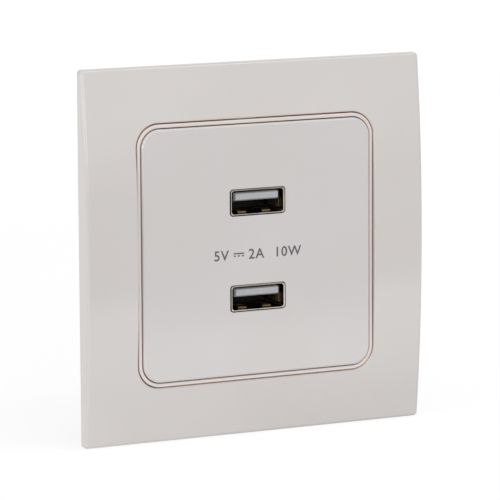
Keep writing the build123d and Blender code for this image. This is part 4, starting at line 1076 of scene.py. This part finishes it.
def bar_mesh(bars, depth):
    """Flat bars, each given by its left, right, lower and upper edge in millimetres."""
    shape = bmesh.new()
    for left, right, bottom, top in bars:
        size = Matrix.Diagonal(((right - left) * mm, (top - bottom) * mm, depth * mm, 1))
        centre = Vector(((left + right) / 2, (bottom + top) / 2, depth / 2)) * mm
        bmesh.ops.create_cube(shape, size=1.0, matrix=Matrix.Translation(centre) @ size)
    mesh = bpy.data.meshes.new("bars")
    shape.to_mesh(mesh)
    shape.free()
    return mesh


def join_meshes(name, parts):
    """One object from meshes and the places they go to."""
    shape = bmesh.new()
    for mesh, place in parts:
        mesh.transform(place)
        shape.from_mesh(mesh)
    whole = bpy.data.meshes.new(name)
    bmesh.ops.remove_doubles(shape, verts=shape.verts, dist=0.0005 * mm)
    bmesh.ops.recalc_face_normals(shape, faces=shape.faces)
    shape.to_mesh(whole)
    shape.free()
    return link_mesh(name, whole)


print("words and bars can be cut and joined")

# %% [markdown]
# The words and the sign are set in a row from their measured widths, because a letter's width depends on
# the font, and then joined, so the whole print is one film that lies on the plate. Its lower face sinks in
# by a hundredth, so the two surfaces never flicker against each other. Ink is not quite even: it is paler
# where the pad lifted a little of it again.

# %% Print the mark
mark_height = 2.2
mark_depth = 0.03
mark_sink = 0.01
mark_level = -0.85
sign_width = 2.5
sign_stroke = 0.3
word_gap = 1.15
last_gap = 2.6 * word_gap
dash = sign_width / 5


def ink():
    made = Finish("print_ink", (0.085, 0.09, 0.11), 0.45)
    patch = made.spread(made.noise(0.25), 0.35, 0.7)
    made.colour(made.mix(patch, (0.075, 0.08, 0.10), (0.115, 0.12, 0.14)))
    made.relief(made.noise(0.1), 0.002)
    return made


def rating_mark():
    """The words and the sign in a row, centred on the plate."""
    words = [text_mesh(word, mark_height, 1.12, mark_depth, 0.012) for word in ("5V", "2A", "10W")]
    lower = mark_height * 0.38
    upper = mark_height * 0.62
    sign = [(0, sign_width, upper - sign_stroke / 2, upper + sign_stroke / 2)]
    for step in (0, 2, 4):
        sign.append((step * dash, (step + 1) * dash, lower - sign_stroke / 2, lower + sign_stroke / 2))
    row = [words[0], (bar_mesh(sign, mark_depth), sign_width), words[1], words[2]]
    widths = [width for _, width in row]
    gaps = (word_gap, word_gap, last_gap)
    left = -(sum(widths) + sum(gaps)) / 2
    front = Matrix(((1, 0, 0, 0), (0, 0, -1, plate_low.y + mark_sink * mm), (0, 1, 0, 0), (0, 0, 0, 1)))
    parts = []
    for (mesh, width), gap in zip(row, gaps + (0,)):
        shift = Vector((left, mark_level - mark_height / 2, 0)) * mm
        parts.append((mesh, front @ Matrix.Translation(shift)))
        left += width + gap
    print("rating mark is", round(sum(widths) + sum(gaps), 2), "mm wide")
    piece = join_meshes("rating_mark", parts)
    piece.data.materials.append(ink().material)
    return piece


settle(rating_mark(), "socket")

# %% [markdown]
# ## Letters at the terminals
# Whoever wires the socket looks for L and N beside the wire holes, raised in the housing's own plastic.
# Raised letters are what an engraved tool leaves, and they can't rub off as ink does. They are read from
# behind, so left and right change places. A boolean could melt them into the housing, but a film that
# starts just under its surface looks the same and leaves the model alone.

# %% Terminal letters
housing_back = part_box("module_rear")[1].y
letter_height = 3.0
letter_depth = 0.4
letter_sink = 0.05
letter_level = -9.2


def terminal_letter(letter, node):
    mesh, width = text_mesh(letter, letter_height, 1.0, letter_depth, 0.01)
    centre = middle(*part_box(node))
    back = Matrix(((-1, 0, 0, centre.x), (0, 0, 1, housing_back - letter_sink * mm),
                   (0, 1, 0, 0), (0, 0, 0, 1)))
    shift = Vector((-width / 2, letter_level, 0)) * mm
    return mesh, back @ Matrix.Translation(shift)


letters = join_meshes("terminal_letters", [terminal_letter("L", "terminal_cage_live"),
                                           terminal_letter("N", "terminal_cage_neutral")])
letters.data.materials.append(bpy.data.materials["housing_grey"])
settle(letters, "socket")

# %% [markdown] ## Closing lines The size of the dressed model is printed, to be set beside the size of the bare one printed at the start. The letters make it a little deeper.
# The letters make it a little deeper, and nothing else may grow.

# %% Print the dressed size
low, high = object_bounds()
print("dressed size", [round(v / mm, 2) for v in high - low], "mm")
